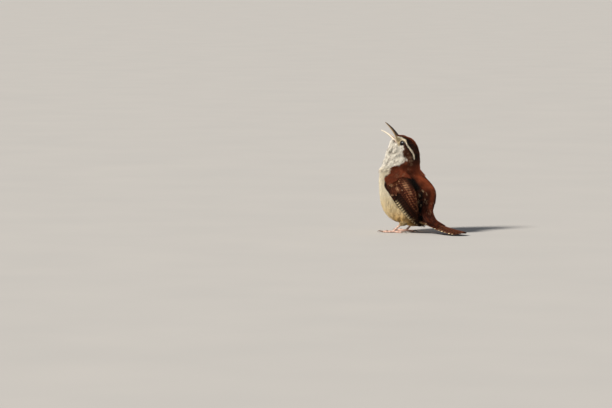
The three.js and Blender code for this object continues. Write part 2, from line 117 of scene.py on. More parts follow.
def fill(made, inputs):
    """Sets a node's inputs. Each is a number, a colour, the socket that feeds it, or a node whose
    first output does."""
    for name, value in inputs.items():
        if isinstance(value, bpy.types.Node):
            value = next(output for output in value.outputs if output.enabled)
        if isinstance(value, bpy.types.NodeSocket):
            made.id_data.links.new(value, made.inputs[name])
        else:
            made.inputs[name].default_value = value


def node(tree, kind, inputs=None, **settings):
    """Adds a node with its settings and inputs."""
    made = tree.nodes.new(kind)
    for name, value in settings.items():
        setattr(made, name, value)
    fill(made, inputs or {})
    return made


def new_material(name):
    """A material with nothing in its tree but a surface and the output that it feeds."""
    material = bpy.data.materials.new(name)
    material.use_nodes = True
    tree = material.node_tree
    tree.nodes.clear()
    surface = node(tree, "ShaderNodeBsdfPrincipled")
    node(tree, "ShaderNodeOutputMaterial", {"Surface": surface})
    return material, tree, surface


def mottled(name, scale, light, dark, relief=None, **inputs):
    """A material that wanders between two colours, in blots about 1 / scale metres wide, which
    also stand out by relief: how strongly and how far."""
    material, tree, surface = new_material(name)
    place = node(tree, "ShaderNodeTexCoord").outputs["Object"]
    blots = node(tree, "ShaderNodeTexNoise", {"Vector": place, "Scale": scale})
    tones = {"Factor": blots, "A": linear(light), "B": linear(dark)}
    fill(surface, {"Base Color": node(tree, "ShaderNodeMix", tones, data_type="RGBA")} | inputs)
    if relief:
        bumps = {"Height": blots, "Strength": relief[0], "Distance": relief[1]}
        fill(surface, {"Normal": node(tree, "ShaderNodeBump", bumps)})
    return material


def piece(name, points, faces, material, *, colours=None, maps=None, smooth=True):
    """A mesh object from points in millimetres and triangles or quads, with a colour per point and
    UV maps per point."""
    mesh = bpy.data.meshes.new(name)
    faces = np.asarray(faces)
    points = in_frame(points)
    mesh.vertices.add(len(points))
    mesh.vertices.foreach_set("co", points.astype(np.float32).ravel())
    mesh.loops.add(faces.size)
    mesh.loops.foreach_set("vertex_index", faces.astype(np.int32).ravel())
    mesh.polygons.add(len(faces))
    mesh.polygons.foreach_set("loop_start", np.arange(0, faces.size, faces.shape[1], dtype=np.int32))
    mesh.update(calc_edges=True)
    for title, places in (maps or {}).items():
        layer = mesh.uv_layers.new(name=title)
        layer.data.foreach_set("uv", np.asarray(places, np.float32)[faces.ravel()].ravel())
    if colours is not None:
        full = np.ones((len(points), 4), np.float32)
        full[:, :3] = colours
        attribute = mesh.color_attributes.new(name="Plumage", type="FLOAT_COLOR", domain="POINT")
        attribute.data.foreach_set("color", full.ravel())
    if smooth:
        mesh.shade_smooth()
    mesh.materials.append(material)
    made = bpy.data.objects.new(name, mesh)
    bpy.context.scene.collection.objects.link(made)
    return made


# Uncoated paper has a faint mottle and no gloss
matt_paper = {"Roughness": 0.9, "Specular IOR Level": 0.2}
floor_paper = mottled("matt_studio_paper", 9.0, FLOOR_PAPER, FLOOR_MOTTLE, **matt_paper)
corners = [(-1, -1, 0), (1, -1, 0), (1, 1, 0), (-1, 1, 0)]
floor_points = np.array(corners, float) * FLOOR_REACH * 1000
floor_points[:, 2] = -ORIGIN[2] * 1000
floor = piece("studio_floor", floor_points, [(0, 1, 2, 3)], floor_paper, smooth=False)

world = bpy.data.worlds.new("studio_surround")
bpy.context.scene.world = world
world.use_nodes = True
world.node_tree.nodes.clear()
surround = {"Color": linear(SURROUND), "Strength": SURROUND_STRENGTH}
sky = node(world.node_tree, "ShaderNodeBackground", surround)
node(world.node_tree, "ShaderNodeOutputWorld", {"Surface": sky})

# Where each light comes from: metres right, up and towards the camera off the bird's middle
LIT_MIDDLE = (0, 8, 45)
KEY_FROM = (-0.80, 0.66, 0.50)
KEY_STRENGTH = 5.3
KEY_SPREAD = math.radians(12)
RIM_FROM = (0.90, 0.45, -0.25)
RIM_REACH = 1.1
RIM_SIZE = 0.3
RIM_POWER = 31.0
EYE_LIGHT_FROM = (-0.15, 0.72, 0.70)
EYE_LIGHT_SIZE = 0.4
EYE_LIGHT_POWER = 34.0


def shine(name, kind, strength, tint, toward, **settings):
    """A light aimed at the bird's middle."""
    lamp = bpy.data.lights.new(name, kind)
    lamp.energy = strength
    lamp.color = linear(tint)[:3]
    for setting, value in settings.items():
        setattr(lamp, setting, value)
    light = bpy.data.objects.new(name, lamp)
    bpy.context.scene.collection.objects.link(light)
    away = view_right * toward[0] + view_up * toward[1] + view_back * toward[2]
    light.location = in_frame(LIT_MIDDLE) + away
    light.rotation_mode = "QUATERNION"
    light.rotation_quaternion = Vector(away).to_track_quat("Z", "Y")
    return light


def receivers(light, name):
    """The collection that tells a light which objects it reaches."""
    light.light_linking.receiver_collection = bpy.data.collections.new(name)
    return light.light_linking.receiver_collection


def flag_off(group, made):
    """Keeps a light off an object, as a flag on its stand does in a studio."""
    group.objects.link(made)
    group.collection_objects[-1].light_linking.link_state = "EXCLUDE"


# The key is the sun through a wide diffuser, so only its direction counts
key_light = shine("key_light", "SUN", KEY_STRENGTH, "#FFF6EA", KEY_FROM, angle=KEY_SPREAD)
rim_place = np.array(RIM_FROM) * RIM_REACH
disk = {"shape": "DISK", "size": RIM_SIZE}
rim_light = shine("rim_light", "AREA", RIM_POWER, "#FFE2C8", rim_place, **disk)
disk = {"shape": "DISK", "size": EYE_LIGHT_SIZE}
eye_light = shine("eye_light", "AREA", EYE_LIGHT_POWER, "#FFFFFF", EYE_LIGHT_FROM, **disk)
# The rim light is kept off the floor, so that the paper stays one even grey
off_rim_light = receivers(rim_light, "flagged_off")
flag_off(off_rim_light, floor)

# Skin: one closed hide under all the body feathers, from the bill to the root of the tail and down
# both thighs. It lies inside the body's outline by the depth of the coat, and is tinted like the
# feathers that grow from it, as a mounted skin is where they part. The mouth is cut into it.

# From the tail's root to the bill: y, z of the middle, half width, reach to the back and the belly
TRUNK = [
    (25.6, 8.4, 2.0, 2.6, 1.5),
    (23.2, 11.4, 8.9, 12.4, 7.2),
    (18.8, 17.0, 14.4, 19.6, 14.6),
    (14.4, 24.0, 18.0, 24.6, 23.3),
    (10.6, 32.0, 20.0, 25.3, 27.0),
    (7.6, 41.0, 19.4, 21.0, 25.9),
    (5.4, 50.0, 16.8, 15.0, 23.4),
    (5.2, 58.0, 14.2, 14.5, 18.3),
    (5.9, 65.5, 12.2, 14.0, 17.4),
    (6.1, 71.6, 10.3, 12.9, 17.2),
    (4.5, 76.8, 8.9, 11.3, 16.8),
    (1.6, 80.9, 6.8, 7.6, 14.2),
    (-1.2, 84.2, 3.9, 4.1, 9.4),
    (-2.6, 86.0, 1.6, 1.5, 3.6),
]
SECTION_LEVELLING = 0.04
HEAD_TURN = math.radians(14)
HEAD_PITCH = math.radians(54)
NECK_MIDDLE_Y = 5.0
NECK_FOOT_Z = 50
NECK_TOP_Z = 68
HIDE_ROWS = 480
HIDE_COLUMNS = 320
HIDE_SAMPLES = 1500
HIDE_EASING = 40
SKIN_ROWS = 260
SKIN_COLUMNS = 200
SKIN_UNDER_BODY = 1.5
SKIN_UNDER_HEAD = 0.75
SKIN_UNDER_THIGH = 0.6
SKIN_VOXEL = 0.00055


def smoothstep(x, start, end):
    share = np.clip((np.asarray(x, float) - start) / (end - start), 0, 1)
    return share * share * (3 - 2 * share)


def blend(a, b, share):
    return a + (b - a) * share


def unit(vectors):
    return vectors / (np.linalg.norm(vectors, axis=-1, keepdims=True) + 1e-9)


def dot(a, b):
    return (a * b).sum(-1, keepdims=True)


def through(keys, share):
    """A smooth curve through evenly spaced keys."""
    keys = np.asarray(keys, float)
    at = np.clip(np.asarray(share, float), 0, 1) * (len(keys) - 1)
    span = np.minimum(at.astype(int), len(keys) - 2)
    w = (at - span)[..., None]
    around = np.vstack([2 * keys[0] - keys[1], keys, 2 * keys[-1] - keys[-2]])
    a, b, c, d = (around[span + k] for k in range(4))
    start, end = (c - a) / 2, (d - b) / 2
    return b + w * (start + w * (3 * (c - b) - 2 * start - end + w * (2 * (b - c) + start + end)))


def turn_head(points, way=1):
    """Turns what lies above the neck about an upright axis through it."""
    points = np.asarray(points, float)
    angle = way * HEAD_TURN * smoothstep(points[..., 2], NECK_FOOT_Z, NECK_TOP_Z)
    x, y = points[..., 0], points[..., 1] - NECK_MIDDLE_Y
    turned_x = x * np.cos(angle) - y * np.sin(angle)
    turned_y = x * np.sin(angle) + y * np.cos(angle)
    return np.stack([turned_x, NECK_MIDDLE_Y + turned_y, points[..., 2]], -1)


def trunk_point(share, turn):
    """A point of the body's outline: turn 0 is its left side and a quarter turn its back."""
    keys = through(TRUNK, share)
    line = through(TRUNK, share + SECTION_LEVELLING) - through(TRUNK, share - SECTION_LEVELLING)
    line = unit(line[..., :2])
    reach = np.where(np.sin(turn) > 0, keys[..., 3], keys[..., 4]) * np.sin(turn)
    side = keys[..., 2] * np.cos(turn)
    y = keys[..., 0] + line[..., 1] * reach
    z = keys[..., 1] - line[..., 0] * reach
    return turn_head(np.stack([side, y, z], -1))


class Hide:
    """A surface that feathers grow on: rows of points from its hind end to its front end, with
    the columns going round it. Feathers lie towards row 0."""

    def __init__(self, rows, closed=True):
        self.points = rows
        self.rows, self.columns = rows.shape[:2]
        self.closed = closed
        self.fore = np.gradient(rows, axis=0) * (self.rows - 1)
        if closed:
            self.round = (np.roll(rows, -1, 1) - np.roll(rows, 1, 1)) * self.columns / 2
        else:
            self.round = np.gradient(rows, axis=1) * (self.columns - 1)
        self.normals = unit(np.cross(self.round, self.fore))

    def read(self, table, v, u):
        row = np.clip(v, 0, 1) * (self.rows - 1)
        if self.closed:
            column = np.mod(u, 1) * self.columns
        else:
            column = np.clip(u, 0, 1) * (self.columns - 1)
        r = np.minimum(row.astype(int), self.rows - 2)
        c = np.minimum(column.astype(int), self.columns - (1 if self.closed else 2))
        d = (c + 1) % self.columns
        a, b = (row - r)[..., None], (column - c)[..., None]
        hind = blend(table[r, c], table[r, d], b)
        return blend(hind, blend(table[r + 1, c], table[r + 1, d], b), a)

    def at(self, v, u, lift):
        """Points lift millimetres off the surface, and the surface's normals there."""
        past = v - np.clip(v, 0, 1)
        normal = unit(self.read(self.normals, v, u))
        base = self.read(self.points, v, u) + past[..., None] * self.read(self.fore, v, u)
        return base + normal * np.asarray(lift)[..., None], normal


# Rows are spaced evenly along every line from vent to bill, and eased where sections crowd
share_steps = np.linspace(0.003, 0.998, HIDE_SAMPLES)
turn_steps = np.arange(HIDE_COLUMNS) * math.tau / HIDE_COLUMNS
close_rows = trunk_point(*np.meshgrid(share_steps, turn_steps, indexing="ij"))
body_rows = np.empty((HIDE_ROWS, HIDE_COLUMNS, 3))
for column in range(HIDE_COLUMNS):
    steps = np.linalg.norm(np.diff(close_rows[:, column], axis=0), axis=1)
    run = np.concatenate([[0], np.cumsum(steps)])
    wanted = np.linspace(0, run[-1], HIDE_ROWS)
    for axis in range(3):
        body_rows[:, column, axis] = np.interp(wanted, run, close_rows[:, column, axis])
for _ in range(HIDE_EASING):
    body_rows[1:-1] += (body_rows[2:] + body_rows[:-2] - 2 * body_rows[1:-1]) / 4
body_hide = Hide(body_rows)

HEAD_PLACE = np.array(EYES_MIDDLE)
turned, ahead = math.sin(HEAD_TURN), math.cos(HEAD_TURN)
raised, level = math.sin(HEAD_PITCH), math.cos(HEAD_PITCH)
HEAD_AXES = np.array(
    [
        (ahead, turned, 0),
        (turned * level, -ahead * level, raised),
        (-turned * raised, ahead * raised, level),
    ]
)


def head_point(places):
    """Points given as left, forward along the closed bill and up through the crown."""
    return HEAD_PLACE + np.asarray(places, float) @ HEAD_AXES


def head_place(points):
    return (np.asarray(points, float) - HEAD_PLACE) @ HEAD_AXES.T


# The folded wing's wrist, tip and upper edge, which give the axes along, up and out of it
WRIST = np.array([17.9, 0.3, 50])
WING_TIP = np.array([9.4, 26.6, 5.4])
WING_UPPER_EDGE = np.array([6.9, 24.3, 53])
WING_ALONG = unit(WING_TIP - WRIST)
WING_OUT = unit(np.cross(WING_ALONG, WING_UPPER_EDGE - WRIST))
WING_UP = np.cross(WING_OUT, WING_ALONG)


def wing_place(points):
    """How far along and up the nearer wing points of the body lie."""
    folded = np.where(points[..., :1] > 0, points, points * [-1, 1, 1]) - WRIST
    return folded @ WING_ALONG, folded @ WING_UP


def hollow_shade_share(points):
    """How far points lie in the painted shade of the hollow where the wing's upper edge parts from the
    back, and of the gap that runs on from it between the wing and the rump: near black, over the dark
    down that shows there."""
    run, rise = wing_place(points)
    patch = np.exp(-(((run - 17) / 11) ** 4) - ((rise - 14.7 - 0.17 * run) / 3.4) ** 4)
    gap = np.exp(-(((rise - 18.2 + 0.71 * (run - 29)) / 2.4) ** 4)) * smoothstep(run, 24, 28)
    return np.maximum(patch, gap)


# Where the pale underside ends on the flanks, neck and cheek: height and how far back it reaches
PALE_EDGE = [
    (5, 30), (14, 26), (20, 19), (27, 11), (34, 3.5), (40, -1.0), (44, -2.0), (47, -1.0),
    (51, -0.2), (55.5, 0.8), (57.5, -0.4), (58.5, 0.6), (59.7, 3.2), (61, 6.4), (62.5, 9.8),
    (64, 12.2), (65.5, 12.6), (66.7, 11.2), (67.8, 9.0), (69.5, 8.5), (72, 8.7), (75, 9.0),
    (78.5, 8.2), (81, 8.0),
]
# The eyebrow stripe: forward of the eye, height over it and half width
EYEBROW = [
    (-18, 0.8, 0.0), (-16.5, 1.5, 0.35), (-14.5, 2.4, 0.45), (-10.5, 3.2, 0.55), (-7.5, 3.2, 0.55),
    (-4.9, 3.1, 0.5), (-3, 3.1, 0.5), (-1.5, 3.3, 0.55), (0.3, 3.5, 0.7), (2.8, 2.6, 0.85),
    (4.5, 1.7, 0.85), (7, 0.0, 0.6), (8.7, -1.6, 0.4),
]
# Some of these colours are painted light: the crown colour is its chestnut darkened with painted
# shade, the rump colour is painted shade over the dark bases of its feathers, the hollow colour is
# near-black painted shadow, the fleck colour is painted shade between the pale feathers, and the ridge
# colour is a painted highlight.
PLUMAGE = {
    "back": "#7C3E27", "back_dark": "#4C2513", "neck": "#6A3522", "crown": "#24120D",
    "crown_rim": "#0F0806", "ear": "#553022", "ear_rim": "#1A0C08", "lore": "#CDBD9C",
    "throat": "#F9F5EB", "breast": "#F2EAD4", "belly": "#EBD9AF", "vent": "#D2AC6C",
    "brow": "#F7F0DC", "rump": "#26100B", "spot": "#D9BE9A", "down": "#6A5F55",
    "fleck_shade": "#6F5E4B", "hollow": "#060302", "rust": "#6A3420", "ridge": "#9C5230",
}
PLUMAGE = {name: np.array(linear(code)[:3]) for name, code in PLUMAGE.items()}
# Pale spots on the rump: distance to the side and height
RUMP_SPOTS = [(8.2, 31), (9.5, 38.5), (12.4, 34.5), (10.6, 26), (5.6, 27.5), (7.0, 35.5)]


def at_keys(keys, x, column=1):
    keys = sorted(keys)
    return np.interp(x, [k[0] for k in keys], [k[column] for k in keys])


def wobble(points, size, seed):
    """A smooth random field between about -1 and 1, with waves about size millimetres long."""
    draw = np.random.default_rng(seed)
    total = 0
    for _ in range(7):
        wave = unit(draw.normal(size=3)) * math.tau / (size * draw.uniform(0.7, 1.5))
        total = total + np.sin(points @ wave + draw.uniform(0, math.tau))
    return total * 0.27


def plumage(points):
    """The colour of the feathers at points of the body, with the real bird's markings."""
    straight = turn_head(points, -1)
    y, z = straight[..., 1], straight[..., 2]
    side = np.abs(straight[..., 0])
    place = head_place(points)
    forward, up = place[..., 1], place[..., 2]
    broad, fine, grain = wobble(points, 6, 1), wobble(points, 2.4, 2), wobble(points, 1.2, 3)

    def paint(under, share, name):
        over = PLUMAGE[name] if isinstance(name, str) else name
        return blend(under, over, np.clip(share, 0, 1)[..., None])

    # The back: a painted highlight along its ridge, painted shade on the rump, on the back of the neck
    # and in the hollow by the wing, and pale spots
    colour = paint(PLUMAGE["back"], 0.4 + 0.35 * broad + 0.2 * fine, "back_dark")
    # Painted shade darkens the rump, where the dark bases of its parted feathers also show
    painted_rump_shade = smoothstep(z, 43, 29) * smoothstep(fine + 0.5 * broad, 1.2, 0.0)
    colour = paint(colour, 0.92 * painted_rump_shade * smoothstep(side, 1.5, 4.5), "rump")
    # A painted highlight along the back's ridge
    ridge = smoothstep(side, 4.5, 1) * smoothstep(z, 20, 27) * smoothstep(z, 60, 52)
    colour = paint(colour, 0.5 * ridge * smoothstep(fine, -1.2, 0.6), "ridge")
    colour = paint(colour, smoothstep(z, 50, 60) * 0.75, "neck")
    # Painted shade, near black, on the back of the neck
    colour = paint(colour, smoothstep(z, 56, 66) * smoothstep(y, 11, 16) * 0.8, "crown_rim")
    # Near-black painted shade in the hollow by the wing and in the gap beside the rump
    colour = paint(colour, 1.08 * hollow_shade_share(points), "hollow")
    spot_off = np.min([np.hypot(side - s, z - h) for s, h in RUMP_SPOTS], 0)
    colour = paint(colour, 0.75 * smoothstep(spot_off + 0.3 * grain, 0.85, 0.45) * (y > 20), "spot")
    # The underside: cream, buff towards the vent and white on the throat, with painted shade low
    # towards the tail, in flecks where the throat's feathers part, and in a band under the puffed
    # throat
    edge = at_keys(PALE_EDGE, z) + 0.5 * fine
    pale = smoothstep(edge - y, -0.5, 0.5) * (z < 82)
    under = paint(PLUMAGE["breast"], smoothstep(z, 40, 20) + 0.12 * broad, "belly")
    under = paint(under, smoothstep(z, 24, 10) * smoothstep(y, -12, 8), "vent")
    under = paint(under, smoothstep(z, 52, 60), "throat")
    # Painted shade darkens the underside low down towards the tail
    under = paint(under, 0.8 * smoothstep(z, 22, 12) * smoothstep(y, 12, 22), "back_dark")
    # Painted shade in flecks where the throat's feathers part
    parted = smoothstep(fine + 0.5 * grain, 0.5, 0.95) * smoothstep(z, 48, 54)
    under = paint(under, 0.75 * parted, "fleck_shade")
    # A band of painted shadow under the puffed throat's ragged edge
    shaded = np.exp(-(((z - 54) / 1.6) ** 2)) * smoothstep(broad + grain, -0.2, 1.0)
    under = paint(under, 0.8 * shaded * smoothstep(y, 3, -3), "fleck_shade")
    colour = paint(colour, pale, under)
    # The head: a crown darkened near black with painted shade, with a painted highlight of chestnut
    # along its top, brown behind the eye, pale lores and chin, and the eyebrow last
    on_head = smoothstep(forward, -21, -17) * smoothstep(z, 63, 66)
    over_brow = up - at_keys(EYEBROW, forward)
    crown = paint(PLUMAGE["crown_rim"], smoothstep(over_brow + 0.4 * fine, 1.8, 3.6), "crown")
    off_middle = np.abs(place[..., 0])
    # A painted highlight: the back's chestnut along the middle of the crown's top, where the light
    # falls
    crown_top = smoothstep(off_middle + 0.6 * grain, 3.6, 2.0) * smoothstep(forward, -9, -4)
    crown = paint(crown, 0.6 * crown_top, "back")
    colour = paint(colour, on_head * smoothstep(over_brow, 0.1, 0.7), crown)
    ear = paint(PLUMAGE["ear"], smoothstep(-over_brow + 0.3 * grain, 2.6, 0.8), "ear_rim")
    behind_eye = smoothstep(forward, -0.5, -2.0) * smoothstep(y - edge, -0.3, 0.5)
    colour = paint(colour, on_head * smoothstep(-over_brow, 0, 0.5) * behind_eye, ear)
    colour = paint(colour, smoothstep(-over_brow, -0.2, 0.4) * (forward > -0.5), "lore")
    # The chin is white, with painted shade in flecks where its feathers part
    chin = smoothstep(-up, 3.2, 4.6) * (z > 60) * (y < 8) * smoothstep(-over_brow, 0, 1)
    colour = paint(colour, chin, paint(PLUMAGE["throat"], 0.75 * parted, "fleck_shade"))
    width = at_keys(EYEBROW, forward, 2)
    brow = smoothstep(width - np.abs(over_brow) + 0.3 * grain, -0.25, 0.25)
    return paint(colour, brow * (np.abs(forward + 4.5) < 13.5) * (side > 1.0), "brow")


# Where each foot stands, and the tarsus: length, slope and lean towards the body's middle
STANCE = {"left": (9.2, 0.6), "right": (-9.6, 2.2)}
TARSUS_LENGTH = 20
TARSUS_RISE = math.radians(41)
TARSUS_LEAN_IN = 2.2
ANKLE_Z = 1.7
# The thigh begins and ends at these shares of the leg's line
THIGH_END = 0.44
THIGH_TOP = 0.95


def leg_point(place, share):
    """A point of the leg's line, from the ankle up to the belly."""
    share = np.asarray(share, float)
    x = place[0] - np.sign(place[0]) * TARSUS_LEAN_IN * share
    run = TARSUS_LENGTH * share
    y = place[1] + run * math.cos(TARSUS_RISE)
    return np.stack([x, y, ANKLE_Z + run * math.sin(TARSUS_RISE)], -1)


def tube_rows(line, radius, sides):
    """Rings of points square to a line, with a radius for each."""
    line = np.asarray(line, float)
    ahead = unit(np.gradient(line, axis=0))
    start = np.array([0, 0, 1.0]) if abs(ahead[0, 2]) < 0.8 else np.array([0, 1.0, 0])
    across = unit(np.cross(ahead, start))
    over = np.cross(across, ahead)
    turn = np.arange(sides) * math.tau / sides
    rings = across[:, None] * np.cos(turn)[:, None] + over[:, None] * np.sin(turn)[:, None]
    radius = np.broadcast_to(np.asarray(radius, float), len(line))
    return line[:, None] + rings * radius[:, None, None]


def loft(rows):
    """Points and triangles of a closed skin over rings of points, with a fan over each end."""
    count, sides = rows.shape[:2]
    points = np.concatenate([rows.reshape(-1, 3), rows[:1].mean(1), rows[-1:].mean(1)])
    i = np.arange(sides)
    j = (i + 1) % sides
    faces = []
    for r in range(count - 1):
        a, b = r * sides + i, r * sides + j
        c, d = a + sides, b + sides
        faces += [np.stack([a, b, d], 1), np.stack([a, d, c], 1)]
    last = (count - 1) * sides
    faces.append(np.stack([np.full(sides, count * sides), j, i], 1))
    faces.append(np.stack([np.full(sides, count * sides + 1), last + i, last + j], 1))
    return points, facing_out(points, np.concatenate(faces))


def facing_out(points, faces):
    """The triangles of one closed body, turned over if they face inwards."""
    a, b, c = (points[faces[:, k]] - points.mean(0) for k in range(3))
    return faces if (a * np.cross(b, c)).sum() > 0 else faces[:, ::-1]


def merged(bodies):
    """Several bodies of points and triangles as one."""
    starts = np.cumsum([0] + [len(points) for points, _ in bodies])
    points = np.concatenate([points for points, _ in bodies])
    return points, np.concatenate([faces + start for (_, faces), start in zip(bodies, starts)])


def thigh_rows(place, grow, rings=24, sides=40):
    share = np.linspace(THIGH_END, THIGH_TOP, rings)
    swell = np.minimum(1, (share - THIGH_END) / (0.85 - THIGH_END)) ** 0.8
    radius = (1.3 + 2.8 * swell) * np.minimum(1, 0.5 + 4 * (share - THIGH_END)) + grow
    return tube_rows(leg_point(place, share), radius, sides)


skin_u = np.arange(SKIN_COLUMNS) / SKIN_COLUMNS
grid_v, grid_u = np.meshgrid(np.linspace(0, 1, SKIN_ROWS), skin_u, indexing="ij")
hide_points, _ = body_hide.at(grid_v, grid_u, 0 * grid_v)
depth = blend(SKIN_UNDER_BODY, SKIN_UNDER_HEAD, smoothstep(hide_points[..., 2], 58, 74))
skin_rows, _ = body_hide.at(grid_v, grid_u, -depth)
thighs = [loft(thigh_rows(place, -SKIN_UNDER_THIGH)) for place in STANCE.values()]
skin_points, skin_faces = merged([loft(skin_rows[:, ::-1])] + thighs)

# Mounted skin is dry and matt, with pores 0.4 mm apart, where the finest feathers were rooted
skin_material, tree, surface = new_material("feathered_skin")
place = node(tree, "ShaderNodeTexCoord").outputs["Object"]
pores = node(tree, "ShaderNodeTexNoise", {"Vector": place, "Scale": 2500.0})
bumps = {"Height": pores, "Strength": 0.3, "Distance": 0.0002}
looks = {
    "Base Color": node(tree, "ShaderNodeVertexColor", layer_name="Plumage"),
    "Roughness": 0.85,
    "Specular IOR Level": 0.2,
    "Normal": node(tree, "ShaderNodeBump", bumps),
}
fill(surface, looks)
# The lining of the mouth is wet and smooth, of a dull flesh colour
mouth_material = mottled("mouth_lining", 900.0, "#8A5A45", "#C08A62", Roughness=0.4)

skin = piece("body_skin", skin_points, skin_faces, skin_material)


def modify(made, name, kind, **settings):
    modifier = made.modifiers.new(name, kind)
    for setting, value in settings.items():
        setattr(modifier, setting, value)


modify(skin, "one_skin", "REMESH", mode="VOXEL", voxel_size=SKIN_VOXEL)
modify(skin, "settle", "SMOOTH", factor=0.5, iterations=8)

# The corners of the gape lie so far forward and up of the eyes, and the mandibles start there
GAPE = (2.5, -4.5)
UPPER_BILL = {"length": 23.3, "rise": math.radians(-0.5), "depth": 3.1, "half": 2.9, "sag": 1.5}
LOWER_BILL = {"length": 21.2, "rise": math.radians(-19), "depth": -2.5, "half": 2.8, "sag": 1.6}
MOUTH_REACH = 14
CUTTER_REACH = 6.5
wedge = [(GAPE[0] - 0.6, GAPE[1] + 0.1)]
for bill, arch, clear in ((LOWER_BILL, 0.6, 1.5), (UPPER_BILL, 0.9, 0)):
    rise = bill["rise"] + math.radians(clear)
    up = GAPE[1] + MOUTH_REACH * math.sin(rise) + arch
    wedge.append((GAPE[0] + MOUTH_REACH * math.cos(rise), up))
sides = (-CUTTER_REACH, CUTTER_REACH)
wedge_rows = np.array([[(side, *corner) for corner in wedge] for side in sides])
cutter = piece("mouth_cutter", *loft(head_point(wedge_rows)), mouth_material, smooth=False)
cut = {"operation": "DIFFERENCE", "solver": "EXACT", "material_mode": "TRANSFER", "object": cutter}
modify(skin, "mouth", "BOOLEAN", **cut)
evaluated = skin.evaluated_get(bpy.context.evaluated_depsgraph_get())
mesh = bpy.data.meshes.new_from_object(evaluated)
skin.modifiers.clear()
rough = skin.data
skin.data = mesh
bpy.data.meshes.remove(rough)
mesh.name = skin.name
bpy.data.objects.remove(cutter)
places = np.empty(len(mesh.vertices) * 3, np.float32)
mesh.vertices.foreach_get("co", places)
places = (places.reshape(-1, 3).astype(float) - ORIGIN) * 1000
tints = np.ones((len(places), 4), np.float32)
tints[:, :3] = plumage(places) * 0.85
# Bare flesh-coloured skin edges the gape
_, forward, up = head_place(places).T
rise = np.arctan2(up - wedge[0][1], forward - wedge[0][0])
edging = (rise > LOWER_BILL["rise"] - 0.03) & (rise < UPPER_BILL["rise"] + 0.08)
tints[edging & (forward > wedge[0][0] - 1), :3] = linear("#C08E6C")[:3]
attribute = mesh.color_attributes.new(name="Plumage", type="FLOAT_COLOR", domain="POINT")
attribute.data.foreach_set("color", tints.ravel())
mesh.shade_smooth()
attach(skin, "root")
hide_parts("head", "neck", "torso", "thigh_left", "thigh_right")

# Body feathers: soft contour feathers that grow from the skin and lie back over one another like
# shingles, each a fan of thin locks of barbs. They are smallest on the face, and longest and
# loosest on the throat, which the song puffs out, and on the flanks and rump.
LID_REACH = 2.3
# A lock's rings lie at these shares of its length, and swell to these shares of its width
LOCK_RINGS = np.array([0.0, 0.4, 0.78, 1.0])
LOCK_SWELL = np.array([0.6, 1.0, 0.7, 0.0])
# How wide a tuft's own patch is in the map OFBake
BAKE_PATCH = 0.003

# Feather keratin is matt, with a faint sheen across its barbs. A lock stands for several barbs,
# which show as streaks along it, about 0.05 mm wide as the real ones are.
feather_material, tree, surface = new_material("contour_feather")
place = node(tree, "ShaderNodeTexCoord").outputs["Object"]
mottle = node(tree, "ShaderNodeTexNoise", {"Vector": place, "Scale": 420.0})
along = {"Vector": node(tree, "ShaderNodeUVMap", uv_map="Feather"), "Scale": (2.4, 0.35, 1)}
stretch = node(tree, "ShaderNodeMapping", along)
barbs = node(tree, "ShaderNodeTexNoise", {"Vector": stretch, "Scale": 2.0})
mixed = node(tree, "ShaderNodeMath", {0: barbs, 1: mottle}, operation="ADD")
ends = {"Value": mixed, "From Min": 0.7, "From Max": 1.3, "To Min": 0.86, "To Max": 1.1}
tint = node(tree, "ShaderNodeVertexColor", layer_name="Plumage")
lit = {0: tint, "Scale": node(tree, "ShaderNodeMapRange", ends)}
bumps = {"Height": barbs, "Strength": 0.3, "Distance": 0.0002}
looks = {
    "Base Color": node(tree, "ShaderNodeVectorMath", lit, operation="SCALE"),
    "Roughness": 0.72,
    "Specular IOR Level": 0.06,
    "Sheen Weight": 0.02,
    "Sheen Roughness": 0.45,
    "Normal": node(tree, "ShaderNodeBump", bumps),
}
fill(surface, looks)


def scattered(hide, spacing, keep, seed):
    """Feather roots on a hide, as far apart as spacing(points) says and where keep(points) is."""
    draw = np.random.default_rng(seed)
    area = np.linalg.norm(np.cross(hide.round, hide.fore), axis=-1) / (hide.rows * hide.columns)
    weight = (area / spacing(hide.points) ** 2).ravel()
    count = int(weight.sum() * 5)
    cells = draw.choice(weight.size, count, p=weight / weight.sum())
    v = (cells // hide.columns + draw.uniform(-0.5, 0.5, count)) / (hide.rows - 1)
    u = (cells % hide.columns + draw.uniform(-0.5, 0.5, count)) / hide.columns
    v = np.clip(v, 0, 1)
    points, _ = hide.at(v, u, 0 * v)
    kept = keep(points)
    v, u, points = v[kept], u[kept], points[kept]
    gaps = spacing(points)
    near = KDTree(len(points))
    for i, point in enumerate(points):
        near.insert(point, i)
    near.balance()
    free = np.ones(len(points), bool)
    chosen = []
    for i in range(len(points)):
        if free[i]:
            chosen.append(i)
            for _, j, _ in near.find_range(points[i], gaps[i]):
                free[j] = False
    return v[chosen], u[chosen]


